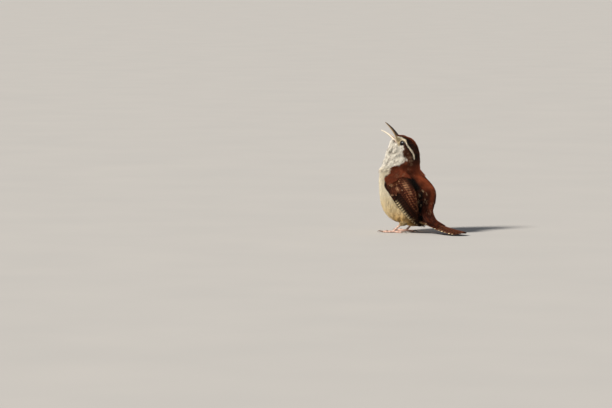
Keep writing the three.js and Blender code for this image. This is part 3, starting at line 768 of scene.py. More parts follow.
def locks_on(hide, v, u, form, seed):
    """A fan of locks for each feather rooted at v, u. Form gives, for each feather or for all, its
    length, width and barb, the half width of a lock, in millimetres; root and tip, how high they
    stand off the hide; spread and stray, in radians; its number of locks; and lie, its heading."""
    draw = np.random.default_rng(seed)
    number = form["locks"]
    owner = np.repeat(np.arange(len(v)), number)
    order = np.tile(np.arange(number), len(v))
    fan = 2 * order / (number - 1) - 1
    count = len(owner)
    v, u = v[owner], u[owner]
    length, width, barb, spread, root, tip, stray = (
        np.broadcast_to(form[k], len(form["lie"]))[owner]
        for k in ("length", "width", "barb", "spread", "root", "tip", "stray")
    )
    # One lock in four is a stray wisp, thinner and longer than the rest
    wisp = draw.uniform(size=count) < 0.25
    length = length * (1 - 0.22 * np.abs(fan) ** 1.5) * draw.uniform(0.84, 1.08, count)
    length = length * np.where(wisp, 1.12, 1)
    half = barb * draw.uniform(0.8, 1.25, count) * np.where(wisp, 0.5, 1)
    turn = fan * spread + (0.05 + 0.06 * wisp) * draw.normal(size=count)
    turn = turn + stray * draw.normal(size=len(form["lie"]))[owner]
    lie = form["lie"][owner]
    normal = unit(hide.read(hide.normals, v, u))
    lie = unit(lie - normal * dot(lie, normal))
    across = np.cross(normal, lie)
    heading = lie * np.cos(turn)[:, None] + across * np.sin(turn)[:, None]
    fore, round_ = hide.read(hide.fore, v, u), hide.read(hide.round, v, u)
    ff, fr, rr = dot(fore, fore)[:, 0], dot(fore, round_)[:, 0], dot(round_, round_)[:, 0]
    whole = ff * rr - fr * fr + 1e-9

    def on_hide(vectors):
        """A tangent vector in millimetres as steps of v and u."""
        vf, vr = dot(vectors, fore)[:, 0], dot(vectors, round_)[:, 0]
        return (vf * rr - vr * fr) / whole, (vr * ff - vf * fr) / whole

    v_step, u_step = on_hide(heading * length[:, None])
    v_side, u_side = on_hide(across * (fan * width * 0.3)[:, None])
    raised = tip + (0.08 + 0.12 * wisp) * draw.normal(size=count)
    rings = []
    middles = []
    for share in LOCK_RINGS:
        lift = blend(root, raised, share**0.75)
        where = (v + v_side + v_step * share, u + u_side + u_step * share)
        middles.append(hide.at(*where, lift))
    for k, (middle, up) in enumerate(middles[:3]):
        ahead = unit(middles[k + 1][0] - middles[max(k - 1, 0)][0])
        beside = unit(np.cross(up, ahead))
        crown = np.cross(ahead, beside) * (0.05 + 0.3 * half * LOCK_SWELL[k])[:, None]
        beside = beside * (half * LOCK_SWELL[k])[:, None]
        rings.append(np.stack([middle - beside, middle + beside, middle + crown], 1))
    points = np.concatenate(rings + [middles[3][0][:, None]], 1).reshape(-1, 3)
    one = []
    for k in (0, 3):
        for a, b in ((0, 1), (1, 2), (2, 0)):
            one += [(k + a, k + b, k + b + 3), (k + a, k + b + 3, k + a + 3)]
    one += [(6, 7, 9), (7, 8, 9), (8, 6, 9), (0, 2, 1)]
    one = facing_out(points[:10], np.array(one))
    faces = ((np.arange(count) * 10)[:, None, None] + one).reshape(-1, 3)
    across_map = np.array([0, 1, 0.5] * 3 + [0.5])
    share_map = np.repeat(LOCK_RINGS, [3, 3, 3, 1])
    feather_map = [
        across_map + draw.uniform(0, 50, count)[:, None],
        share_map * length[:, None] + draw.uniform(0, 50, count)[:, None],
    ]
    strip = (order[:, None] + across_map) / number - 0.5
    bake_map = [
        BAKE_PATCH + (1 - 2 * BAKE_PATCH) * u[:, None] + BAKE_PATCH * strip,
        BAKE_PATCH + (1 - 2 * BAKE_PATCH) * v[:, None] + BAKE_PATCH * (share_map - 0.5),
    ]
    shown, _ = hide.at(v + v_side + v_step * 0.75, u + u_side + u_step * 0.75, 0 * v)
    maps = {
        "Feather": np.stack(feather_map, -1).reshape(-1, 2),
        "OFBake": np.stack(bake_map, -1).reshape(-1, 2),
    }
    return points, faces, maps, shown, owner, share_map


BILL_FOOT = head_point((0, 6, -4))
# Distance from the foot of the bill, then the spacing, length, width and barb of feathers there
FEATHER_SIZES = [
    (3, 0.5, 1.4, 0.9, 0.10), (8, 0.56, 1.9, 1.2, 0.11), (15, 0.72, 2.9, 1.7, 0.13),
    (24, 0.86, 4.4, 2.4, 0.16), (42, 1.04, 6.2, 3.2, 0.20), (90, 1.1, 7.4, 3.6, 0.22),
]
# No feather is rooted under the folded wing, so far along and up it
UNDER_WING = ((3, 38), (0, 13))


def feather_size(points, column):
    away = np.linalg.norm(points - BILL_FOOT, axis=-1)
    return at_keys(FEATHER_SIZES, away, column)


def in_mandible(place, bill, slack):
    """Whether points given from the head's middle lie inside a mandible."""
    forward, up = place[..., 1] - GAPE[0], place[..., 2] - GAPE[1]
    run = forward * math.cos(bill["rise"]) + up * math.sin(bill["rise"])
    high = up * math.cos(bill["rise"]) - forward * math.sin(bill["rise"])
    share = np.clip(run / bill["length"], 0, 1)
    wide = bill["half"] * ((1 - share) ** 0.8 + 0.035) / 0.9 + slack
    tall = abs(bill["depth"]) * (0.2 + 0.8 * (1 - share) ** 0.75) + slack
    above = high * math.copysign(1, bill["depth"])
    return (run > 2.4) & (above > -0.4) & ((place[..., 0] / wide) ** 2 + (above / tall) ** 2 < 1)


def bare(points):
    """Where no feather grows: on the eyes and lids, in the mouth and under the horn of the bill."""
    place = head_place(points)
    side, forward, up = np.abs(place[..., 0]), place[..., 1], place[..., 2]
    eye = (np.hypot(forward, up) < LID_REACH) & (side > 4)
    rise = np.arctan2(up - wedge[0][1], forward - wedge[0][0])
    low, high = LOWER_BILL["rise"] + math.radians(3.4), UPPER_BILL["rise"] + math.radians(0.5)
    mouth = (forward > wedge[0][0] - 0.1) & (rise > low) & (rise < high)
    horn = in_mandible(place, UPPER_BILL, -0.1) | in_mandible(place, LOWER_BILL, -0.8)
    return eye | mouth | horn


def under_wing(points):
    run, rise = wing_place(points)
    (near, far), (low, high) = UNDER_WING
    inside = (run > near) & (run < far) & (rise > low) & (rise < high)
    return inside & (np.abs(points[..., 0]) > 6)


def at_tail_root(points):
    """Where the soft coverts over and under the tail take the place of the body's feathers."""
    x, y, z = points.T
    return (np.abs(x) < 8) & (((y > 27) & (z < 23)) | ((y > 19) & (z < 10)))


def lie_on_body(hide, v, u):
    """The way feathers point: back towards the tail, parting round each eye, and in the loose
    clumps that feathers fall into."""
    points, _ = hide.at(v, u, 0 * v)
    lie = -unit(hide.read(hide.fore, v, u))
    place = head_place(points)
    side, forward, up = place[..., 0], place[..., 1], place[..., 2]
    reach = np.hypot(forward, up) + 1e-6
    push = np.clip((LID_REACH / reach) ** 2, 0, 1) * (np.abs(side) > 3)
    cosine, sine = forward / reach, up / reach
    turned = np.stack([0 * side, push * (2 * cosine**2 - 1), push * 2 * cosine * sine], -1)
    lie = unit(lie + turned @ HEAD_AXES)
    size = feather_size(points, 2)
    drift = 0.2 * wobble(points, 9, 4) + 0.12 * wobble(points, 4, 5)
    drift = drift * smoothstep(size, 1.6, 4.0) * (1 + smoothstep(points[..., 2], 52, 58))
    normal = unit(hide.read(hide.normals, v, u))
    return unit(lie + np.cross(normal, lie) * drift[..., None])


def feather_piece(name, slot, hide, v, u, form, seed, tint=plumage, mirror=False):
    """One piece of many feathers: dark down at each root, the marking's colour over the rest."""
    points, faces, maps, shown, owner, share = locks_on(hide, v, u, form, seed)
    if mirror:
        points, faces = points * [-1, 1, 1], faces[:, ::-1]
    draw = np.random.default_rng(seed + 1)
    tone = draw.uniform(0.9, 1.1, len(v))[owner] * draw.uniform(0.93, 1.07, len(owner))
    tips = tint(shown) * tone[:, None]
    share = share[None, :, None]
    rooted = blend(tips * 0.72, PLUMAGE["down"] * 0.6, 0.12)
    shaded = tips[:, None] * (0.92 + 0.12 * share)
    for mark in ("spot", "fleck_shade", "rust"):
        if mark in form:
            shaded = blend(shaded, PLUMAGE[mark], form[mark][owner][:, None, None] * (share > 0.7))
    colours = blend(rooted[:, None], shaded, smoothstep(share, 0.0, 0.45))
    made = piece(
        name, points, faces, feather_material, colours=np.clip(colours, 0, 1).reshape(-1, 3), maps=maps
    )
    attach(made, "root")
    return made


root_v, root_u = scattered(
    body_hide,
    lambda points: feather_size(points, 1),
    lambda points: ~bare(points) & ~under_wing(points) & ~at_tail_root(points),
    seed=11,
)
root_points, _ = body_hide.at(root_v, root_u, 0 * root_v)
side, fore, up = head_place(root_points).T
_, back, height = turn_head(root_points, -1).T
pale = at_keys(PALE_EDGE, height) > back
puffed = pale * smoothstep(height, 54, 60) * smoothstep(height, 79, 72)
loose = smoothstep(height, 32, 14)
near_head = smoothstep(np.linalg.norm(root_points - BILL_FOOT, axis=1), 30, 18)
beside_eye = np.exp(-((np.hypot(fore, up) / 3.4) ** 4)) * (np.abs(side) > 4)
run, rise = wing_place(root_points)
at_wrist = np.exp(-(((run + 3) / 4) ** 2) - ((rise + 4) / 5) ** 2) * pale
# The puffed throat ends in a ragged edge over the breast
ruffled = pale * np.exp(-(((height - 57) / 3.5) ** 2)) * smoothstep(back, 2, -6)
clumps = smoothstep(wobble(root_points, 4.2, 6), -0.5, 0.7)
# A loose tuft stands on either side of the rump
tuft = np.exp(-(((root_points[:, 1:] - [30.5, 18]) / [3, 2.6]) ** 2).sum(1))
tuft *= np.exp(-(((np.abs(root_points[:, 0]) - 7) / 3) ** 2))
beside_ear = np.exp(-(((np.stack([back, height], 1) - [14.5, 65.5]) / [3, 3.5]) ** 2).sum(1))
on_ear = (np.abs(fore + 8.5) < 6) * (np.abs(up + 1.5) < 3) * (height > 64)
on_crown = smoothstep(up - at_keys(EYEBROW, fore), 1.5, 3) * (height > 64)
upper_lid = 0.6 + 0.5 * smoothstep(up, 0, 2)
# Single feathers with a pale tip, flecks on the ear, rust ones, and throat feathers tipped with
# painted shade
chance = np.random.default_rng(12).uniform(size=(4, len(height)))
pale_tip = (chance[0] < 0.015 + 0.6 * tuft) * smoothstep(height, 46, 40) * ~pale
ear_fleck = chance[1] < (0.2 * beside_ear + 0.14 * on_ear) * ~pale
rusty = (chance[2] < 0.18) * ~pale * (smoothstep(height, 40, 34) + on_crown)
form = {
    "length": feather_size(root_points, 2) * (1 + 0.35 * puffed + 0.15 * loose + 0.3 * tuft),
    "width": feather_size(root_points, 3) * (1 - 0.2 * puffed),
    "barb": 0.86 * feather_size(root_points, 4),
    "spread": blend(0.3, 0.38, near_head),
    "root": -blend(1.4, 0.7, near_head) + 0.8 * beside_eye,
    "tip": 0.05 + (0.1 + 1.7 * clumps) * puffed + (0.1 + 0.7 * clumps) * loose
    + blend(0.2, 0.5, pale) * clumps + beside_eye * upper_lid + 1.2 * at_wrist
    + (0.8 + 1.6 * clumps) * ruffled + 1.8 * tuft,
    "stray": 0.07 + 0.12 * puffed + 0.08 * loose + 0.15 * ruffled,
    "spot": 0.75 * pale_tip * (1 - hollow_shade_share(root_points)) + 0.4 * ear_fleck,
    "rust": 0.7 * rusty,
    "fleck_shade": 0.6 * (chance[3] < 0.1) * pale * smoothstep(height, 44, 56),
    "lie": lie_on_body(body_hide, root_v, root_u),
}
above_brow = up > at_keys(EYEBROW, fore) - 1.2
face = (height > 66) & (fore > -17)
REGIONS = {
    "crown_feathers": ("crown_feathers", face & above_brow, 7),
    "cheek_feathers": ("crown_feathers", face & ~above_brow & ~(pale & (fore < 4)), 7),
    "throat_feathers": ("throat_feathers", pale & (height > 56), 9),
    "breast_feathers": ("throat_feathers", pale & (height > 36), 9),
    "belly_feathers": ("throat_feathers", pale, 8),
    "neck_feathers": ("body_feathers", height > 48, 9),
    "back_feathers": ("body_feathers", height > 30, 9),
    "rump_feathers": ("body_feathers", height > 0, 9),
}
taken = np.zeros(len(root_v), bool)
for seed, (name, (slot, there, number)) in enumerate(REGIONS.items(), 20):
    chosen = there & ~taken
    taken |= chosen
    part = {k: value[chosen] for k, value in form.items()} | {"locks": number}
    feather_piece(name, slot, body_hide, root_v[chosen], root_u[chosen], part, seed)

# Thigh feathers: short, soft and buff, set close together from the belly down to the bare tarsus,
# so that the leg comes out of the body with no step.
THIGH_FORM = {
    "length": 3.4, "width": 1.7, "barb": 0.15, "spread": 0.34, "root": -0.7, "tip": 0.35,
    "stray": 0.2, "locks": 6,
}
THIGH_SPACING = 0.62
THIGH_HIDE = {"grow": 0.2, "rings": 60, "sides": 60}


def even(spacing):
    """Feathers equally far apart everywhere."""
    return lambda points: np.full(points.shape[:-1], spacing)


def buff_tint(points):
    buff = blend(PLUMAGE["belly"], PLUMAGE["vent"], 0.5)
    return buff * (1 + 0.15 * wobble(points, 2, 9))[..., None]


for way, place in STANCE.items():
    thigh = Hide(thigh_rows(place, **THIGH_HIDE))
    v, u = scattered(thigh, even(THIGH_SPACING), lambda points: points[:, 2] > 0, 31)
    form = THIGH_FORM | {"lie": -unit(thigh.read(thigh.fore, v, u))}
    feather_piece(f"thigh_feathers_{way}", "leg_feathers", thigh, v, u, form, 32, tint=buff_tint)

# Eyes: each a glass-smooth ball of very dark brown, sunk in its socket, which catches the light,
# inside a thin bare lid of dark skin that closes on it like a soft ring.
EYE_RADIUS = 2.6
EYE_OUT = 6.6
EYE_RINGS = 33
EYE_SIDES = 48
EYE_TOE_IN = math.radians(12)
LID_SIDES = 64
LID_SQUEEZE = 0.07
# The lid's section: how far off the eye's axis, and out past the eye's middle
LID_SECTION = [
    (1.98, 1.48), (2.02, 1.6), (2.1, 1.66), (2.22, 1.62), (2.42, 1.42), (2.66, 1.0), (2.9, 0.4),
    (2.5, 0.0), (2.05, 0.85),
]
# A wet cornea over a dark brown iris: clear gloss at the refraction of water
wet = {"Roughness": 0.04, "IOR": 1.38}
eye_material = mottled("wet_dark_eye", 700.0, "#030201", "#0C0604", **wet)
# Bare skin of the lid: dry, finely wrinkled and dark grey-brown
wrinkled = {"relief": (0.5, 0.0001), "Roughness": 0.6}
lid_material = mottled("bare_lid_skin", 2600.0, "#0D0907", "#2E251E", **wrinkled)

# The eyes take their one bright point from the eye light, and none from the key light
eyes = receivers(eye_light, "eyes_only")
off_eyes = receivers(key_light, "eyes_flagged_off")
for way, side in (("left", 1), ("right", -1)):
    polar = np.linspace(0.02, math.pi - 0.02, EYE_RINGS)
    turn = np.arange(EYE_SIDES) * math.tau / EYE_SIDES
    beside = np.sin(polar)[:, None]
    ring = [np.cos(polar)[:, None] + 0 * turn, beside * np.cos(turn), beside * np.sin(turn)]
    ring = np.stack(ring, -1)
    ball = head_point(ring * EYE_RADIUS + np.array([side * EYE_OUT, 0, 0]))
    eye = piece(f"eyeball_{way}", *loft(ball), eye_material)
    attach(eye, "root")
    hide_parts(f"eye_{way}")
    eyes.objects.link(eye)
    flag_off(off_eyes, eye)
    # The lids close a little from above and below, so the opening is not quite round
    turn = (np.arange(LID_SIDES) * math.tau / LID_SIDES)[:, None]
    reach, out = np.array(LID_SECTION).T
    squeeze = 1 - LID_SQUEEZE * np.sin(turn) ** 2
    rows = np.stack([out + 0 * turn, reach * np.cos(turn), reach * squeeze * np.sin(turn)], -1)
    cosine, sine = math.cos(EYE_TOE_IN), math.sin(EYE_TOE_IN)
    out, forward = rows[..., 0].copy(), rows[..., 1].copy()
    rows[..., 0] = side * (EYE_OUT + out * cosine - forward * sine)
    rows[..., 1] = forward * cosine + out * sine
    count, wide = rows.shape[:2]
    index = np.arange(count * wide).reshape(count, wide)
    next_row, next_column = np.roll(index, -1, 0), np.roll(index, -1, 1)
    both = np.roll(next_row, -1, 1)
    quads = np.stack([index, next_row, both, next_column], -1).reshape(-1, 4)
    faces = np.concatenate([quads[:, [0, 1, 2]], quads[:, [0, 2, 3]]])
    points = head_point(rows).reshape(-1, 3)
    lid = piece(f"eyelid_{way}", points, facing_out(points, faces), lid_material)
    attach(lid, "root")

# Bill: two slender mandibles of horn, parted at the gape, the upper darker, ridged along the
# culmen and pierced by a slit of a nostril, the lower pale. Their roots go under the feathers.
BILL_RINGS = 60
# Points over the ridge of one ring, from one cutting edge to the other, and over its hollow side
RIDGE_POINTS = 25
HOLLOW_POINTS = 11
TONGUE = {"from": 2.0, "to": 13.0, "radius": 0.8, "rings": 30, "sides": 20}


def horn(name, ridge, edge, dark_share):
    """Bill horn: semi-gloss keratin with faint lines along it, darker ridge and paler edge."""
    material, tree, surface = new_material(name)
    along = node(tree, "ShaderNodeUVMap", uv_map="Horn")
    height = node(tree, "ShaderNodeSeparateXYZ", {"Vector": along}).outputs["X"]
    stretch = node(tree, "ShaderNodeMapping", {"Vector": along, "Scale": (9, 0.5, 1)})
    lines = node(tree, "ShaderNodeTexNoise", {"Vector": stretch, "Scale": 1.5})
    ends = {"Value": height, "From Min": dark_share - 0.25, "From Max": dark_share + 0.25}
    rise = node(tree, "ShaderNodeMapRange", ends, interpolation_type="SMOOTHSTEP")
    tones = {"Factor": rise, "A": linear(edge), "B": linear(ridge)}
    tone = node(tree, "ShaderNodeMix", tones, data_type="RGBA")
    ends = {"Value": lines, "From Min": 0.3, "From Max": 0.7, "To Min": 0.8, "To Max": 1.12}
    lit = {0: tone, "Scale": node(tree, "ShaderNodeMapRange", ends)}
    bumps = {"Height": lines, "Strength": 0.25, "Distance": 0.0002}
    looks = {
        "Base Color": node(tree, "ShaderNodeVectorMath", lit, operation="SCALE"),
        "Roughness": 0.42,
        "IOR": 1.54,
        "Specular IOR Level": 0.3,
        "Normal": node(tree, "ShaderNodeBump", bumps),
    }
    fill(surface, looks)
    return material


def mandible_rows(bill, start=-0.02):
    """Rings of a mandible, and for each point its share of the height and its run."""
    share = np.linspace(start, 1, BILL_RINGS)[:, None]
    taper = np.clip(1 - share, 0, 2) ** 0.8 + 0.035
    half = bill["half"] * taper / 0.9
    high = bill["depth"] * (0.2 + 0.8 * np.clip(1 - share, 0, 2) ** 0.75)
    # Half a ring over the ridge, from one cutting edge to the other, then the palate or floor
    turn = np.linspace(0, math.pi, RIDGE_POINTS)
    peak = 0.08 * np.exp(-(((turn - math.pi / 2) / 0.22) ** 2))
    outer = [half * np.cos(turn), high * (np.sin(turn) + peak)]
    inner_turn = np.linspace(-0.86, 0.86, HOLLOW_POINTS)
    hollow = 0.34 * (1 - (inner_turn / 0.86) ** 2)
    inner = [half * inner_turn, high * (hollow - 0.03) * np.ones_like(share)]
    left = np.concatenate([outer[0], inner[0]], 1)
    up = np.concatenate([outer[1], inner[1]], 1) + bill["sag"] * 4 * share * (1 - share)
    run = share * bill["length"] * np.ones_like(left)
    cosine, sine = math.cos(bill["rise"]), math.sin(bill["rise"])
    forward = GAPE[0] + run * cosine - up * sine
    rows = np.stack([left, forward, GAPE[1] + run * sine + up * cosine], -1)
    level = np.concatenate([np.sin(turn), 0 * inner_turn]) * np.ones_like(left)
    return rows, np.stack([level, run], -1)


NOSTRIL = {"run": (6.6, 9.4), "height": 0.55, "depth": 0.5}
for name, bill, replaced, slot, colours in (
    ("upper_mandible", UPPER_BILL, "bill_upper", "upper_bill_horn", ("#372B22", "#8C7450", 0.4)),
    ("lower_mandible", LOWER_BILL, "bill_lower", "lower_bill_horn", ("#CFC2AA", "#ECE5D6", 0.6)),
):
    rows, level = mandible_rows(bill)
    if bill is UPPER_BILL:
        # The nostril is a slit pressed into each side, close under the ridge
        run, height = level[..., 1], level[..., 0]
        middle = sum(NOSTRIL["run"]) / 2
        reach = (NOSTRIL["run"][1] - NOSTRIL["run"][0]) / 2
        off_middle = ((run - middle) / reach) ** 2 + ((height - NOSTRIL["height"]) / 0.2) ** 2
        press = np.clip(1 - off_middle, 0, 1)
        press[:, RIDGE_POINTS:] = 0
        rows[..., 0] *= 1 - NOSTRIL["depth"] * press
    points, faces = loft(head_point(rows))
    maps = np.concatenate([level.reshape(-1, 2), level[:1].mean(1), level[-1:].mean(1)])
    mandible = piece(name, points, faces, horn(slot, *colours), maps={"Horn": maps})
    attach(mandible, "root")
    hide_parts(replaced)
    # Horn is glossy enough for the rim light to burn a white line on it
    flag_off(off_rim_light, mandible)

rise = LOWER_BILL["rise"]
run = np.linspace(TONGUE["from"], TONGUE["to"], TONGUE["rings"])
share = (run - run[0]) / (run[-1] - run[0])
up = GAPE[1] + run * math.sin(rise) + 0.9 + 0.35 * np.sin(share * math.pi * 0.6)
line = np.stack([0 * run, GAPE[0] + run * math.cos(rise), up], -1)
radius = TONGUE["radius"] * (1 - 0.8 * share) * np.minimum(1, np.sqrt((1 - share) * 12) + 0.1)
tongue_rows = tube_rows(head_point(line), radius, TONGUE["sides"])
tongue = piece("horny_tongue", *loft(tongue_rows), mouth_material)
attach(tongue, "root")
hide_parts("tongue")

# Wings: folded along the flanks and drooped a little. Flight feathers and their coverts are stiff
# vanes in tiers, each with a shaft and two webs, rooted under the tier before it.
WING_CROWN = 7.5
WING_CROWN_AT = 23.5
WING_ROUND_RADIUS = 25
WING_ROUND_MIDDLE = 9.5
WING_RUMP_REACH = 16
WING_HOLLOW = {"depth": 2.8, "along": 11, "reach": 12, "from": 8, "to": 18}
WING_TUCK = 1.8
VANE_COLUMNS = np.array([-1, -0.92, -0.66, -0.36, -0.1, 0, 0.1, 0.36, 0.66, 0.92, 1.0])
SHAFT_RADIUS = 0.13
BARB_GAP = 0.35


def spread_out(*values):
    return np.broadcast_arrays(*(np.asarray(value, float) for value in values))


def wing_point(along, across, lift):
    """A point over the left wing, from its run off the wrist and its height over the lower edge."""
    along, across, lift = spread_out(along, across, lift)
    crown = WING_CROWN * (1 - (along / WING_CROWN_AT - 1) ** 2)
    behind = np.maximum(0, along - WING_CROWN_AT) / WING_RUMP_REACH
    rump = 0.7 * np.exp(across / 8.5) * behind**2
    beside = smoothstep(across, WING_HOLLOW["from"], WING_HOLLOW["to"])
    fade = np.exp(-(((along - WING_HOLLOW["along"]) / WING_HOLLOW["reach"]) ** 2))
    rounded = (across - WING_ROUND_MIDDLE) ** 2 / (2 * WING_ROUND_RADIUS)
    tuck = WING_TUCK * smoothstep(across, 11, 18) * smoothstep(along, 22, 2)
    out = lift + crown - rounded - rump - tuck - WING_HOLLOW["depth"] * beside * fade
    over = WRIST + along[..., None] * WING_ALONG + across[..., None] * WING_UP
    return over + out[..., None] * WING_OUT


def vane(place, shape, draw):
    """A feather of two webs on a shaft: points, faces and, for each point, how far it is across
    and along the feather in millimetres and as shares."""
    rows = shape["rows"]
    (a0, c0), (a1, c1) = shape["from"], shape["to"]
    width, (lift0, lift1) = shape["width"], shape["lift"]
    inner, leading = shape.get("inner", 0.5), shape.get("leading", 1)
    share = np.linspace(0, 1, rows)
    along = blend(a0, a1, share)
    middle = blend(c0, c1, share) + shape["bow"] * 4 * share * (1 - share)
    past = np.maximum(0, share - shape["point"]) / (1.001 - shape["point"])
    tip = np.sqrt(np.clip(1 - past**2, 0, 1))
    half = width * np.maximum(0.02, tip) * (0.55 + 0.45 * np.minimum(1, share * 3))
    # Worn edges: here and there the barbs part in a narrow notch
    ragged = np.ones((2, rows))
    for edge in ragged:
        for _ in range(draw.integers(1, 5)):
            notch_at, depth = draw.uniform(0.45, 0.97), draw.uniform(0.08, 0.25)
            edge -= depth * np.clip(1 - np.abs(share - notch_at) * (a1 - a0) / 0.8, 0, 1)
        edge += 0.025 * draw.normal(size=rows)
    side = VANE_COLUMNS[None, :]
    web = np.where(side < 0, (1 - inner) * ragged[0][:, None], inner * ragged[1][:, None])
    # The shaft lies nearer to the leading edge, and both webs droop from it
    off = side * web * half[:, None]
    across = middle[:, None] + leading * (off - (inner - 0.5) * half[:, None])
    height = blend(lift0, lift1, share)[:, None] + 0.05 * width * (1 - side**2)
    height = height + SHAFT_RADIUS * np.exp(-((off / 0.2) ** 2)) * (1 - 0.7 * share[:, None])
    thick = blend(0.3, 0.12, np.abs(side)) * np.ones_like(off)
    upper = place(along[:, None], across, height)
    lower = place(along[:, None], across, height - thick)
    count = rows * len(VANE_COLUMNS)
    points = np.concatenate([upper.reshape(-1, 3), lower.reshape(-1, 3)])
    grid = np.arange(count).reshape(rows, -1)
    a, b, c, d = grid[:-1, :-1], grid[:-1, 1:], grid[1:, 1:], grid[1:, :-1]
    top = np.concatenate([np.stack([a, b, c], -1), np.stack([a, c, d], -1)]).reshape(-1, 3)
    rim = np.concatenate([grid[0, :-1], grid[:-1, -1], grid[-1, :0:-1], grid[:0:-1, 0]])
    following = np.roll(rim, -1)
    wall = [
        np.stack([rim, rim + count, following + count], 1),
        np.stack([rim, following + count, following], 1),
    ]
    faces = facing_out(points, np.concatenate([top, top[:, ::-1] + count, *wall]))
    run = (along - a0)[:, None]
    chart = np.stack(spread_out(off, run, side, share[:, None]), -1)
    return points, faces, np.tile(chart.reshape(-1, 4), (2, 1))


def shade_on_wing(points):
    """How much painted shade darkens the folded wing's feathers: nearly to black in the hollow, and
    more towards the tip.
    """
    run, _ = wing_place(points)
    return np.clip(np.maximum(1.05 * hollow_shade_share(points), 0.6 * smoothstep(run, 26, 44)), 0, 0.995)


# Pale tips show through on the folded coverts and at the base of the tertials: run, rise and size
WING_LIGHTS = [
    (13.9, 2.9, 1.1), (7.3, -0.1, 1.1), (15.5, 11.0, 1.9), (22.9, 11.6, 0.9), (3.0, 4.5, 1.0),
]
LIT_TIP = np.array(linear("#B58A68")[:3])


def light_on_wing(points):
    run, rise = wing_place(points)
    off = [((run - a) / (1.7 * r)) ** 2 + ((rise - c) / r) ** 2 for a, c, r in WING_LIGHTS]
    return np.exp(-np.min(off, 0))


def vane_piece(name, place, tiers, material, seed, mirror=False):
    """One piece of many vanes. Each tier has its feathers' shapes and its colours: the web's, the
    edge's and, for some, a spot's at the tip."""
    draw = np.random.default_rng(seed)
    bodies, charts, tints, bakes = [], [], [], []
    shapes = [(tier, shape) for tier in tiers for shape in tier["shapes"]]
    for number, (tier, shape) in enumerate(shapes):
        points, faces, chart = vane(place, shape, draw)
        bodies.append((points, faces))
        _, run, side, share = chart.T
        shift = draw.uniform(0, 20)
        if tier.get("in_line"):
            shift = 0.03 * shift
        charts.append(chart[:, :2] + [0, shift])
        web, edge = (np.array(linear(tier[part])[:3]) for part in ("web", "edge"))
        low, high = tier.get("tones", (0.85, 1.15))
        # Painted shade darkens each feather towards its root, where the tier before it lies over it;
        # the tier's root value says how dark
        root_shade = blend(tier.get("root", 0.45), 1.0, smoothstep(share, 0.1, 0.75))
        tone = draw.uniform(low, high) * root_shade
        rim = np.maximum(smoothstep(np.abs(side), 0.55, 0.95), smoothstep(share, 0.9, 0.99))
        tint = blend(web * tone[:, None], edge * tone[:, None], 0.85 * rim[:, None])
        if "spot" in tier and draw.uniform() < tier.get("spotted", 1.0):
            spot = np.array(linear(tier["spot"])[:3])
            size = draw.uniform(0.5, 1.0)
            far = (run - run.max() + 0.9) / (0.9 * size)
            beside = (side - draw.uniform(-0.4, 0.4)) / (0.6 * size)
            tint = blend(tint, spot, 0.9 * np.clip(1.3 - far**2 - beside**2, 0, 1)[:, None])
        shaft = np.exp(-((chart[:, 0] / 0.14) ** 2))
        dark = np.zeros(len(points))
        if place is wing_point:
            # Painted shade: near black in the hollow by the back, and darker towards the wing's tip
            dark = shade_on_wing(points)
            tint = blend(tint, LIT_TIP, 0.55 * light_on_wing(points)[:, None])
        tint = tint * ((1 - 0.35 * shaft) * (1 - dark))[:, None]
        if "outer" in shape:
            outer = smoothstep(-chart[:, 0], 0.1, 0.2) * smoothstep(share, 0.25, 0.4)
            if "notches" in shape:
                outer *= smoothstep(np.sin(run * math.tau / shape["notches"]), 0.1, 0.5)
            tint = blend(tint, shape["outer"], outer[:, None])
        tints.append(tint)
        strip = (number + 0.5 + 0.45 * side) / len(shapes)
        bakes.append(np.stack([strip, share], 1))
    points, faces = merged(bodies)
    if mirror:
        points, faces = points * [-1, 1, 1], faces[:, ::-1]
    maps = {"Vane": np.concatenate(charts), "OFBake": np.concatenate(bakes)}
    made = piece(name, points, faces, material, colours=np.concatenate(tints), maps=maps)
    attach(made, "root")
    return made


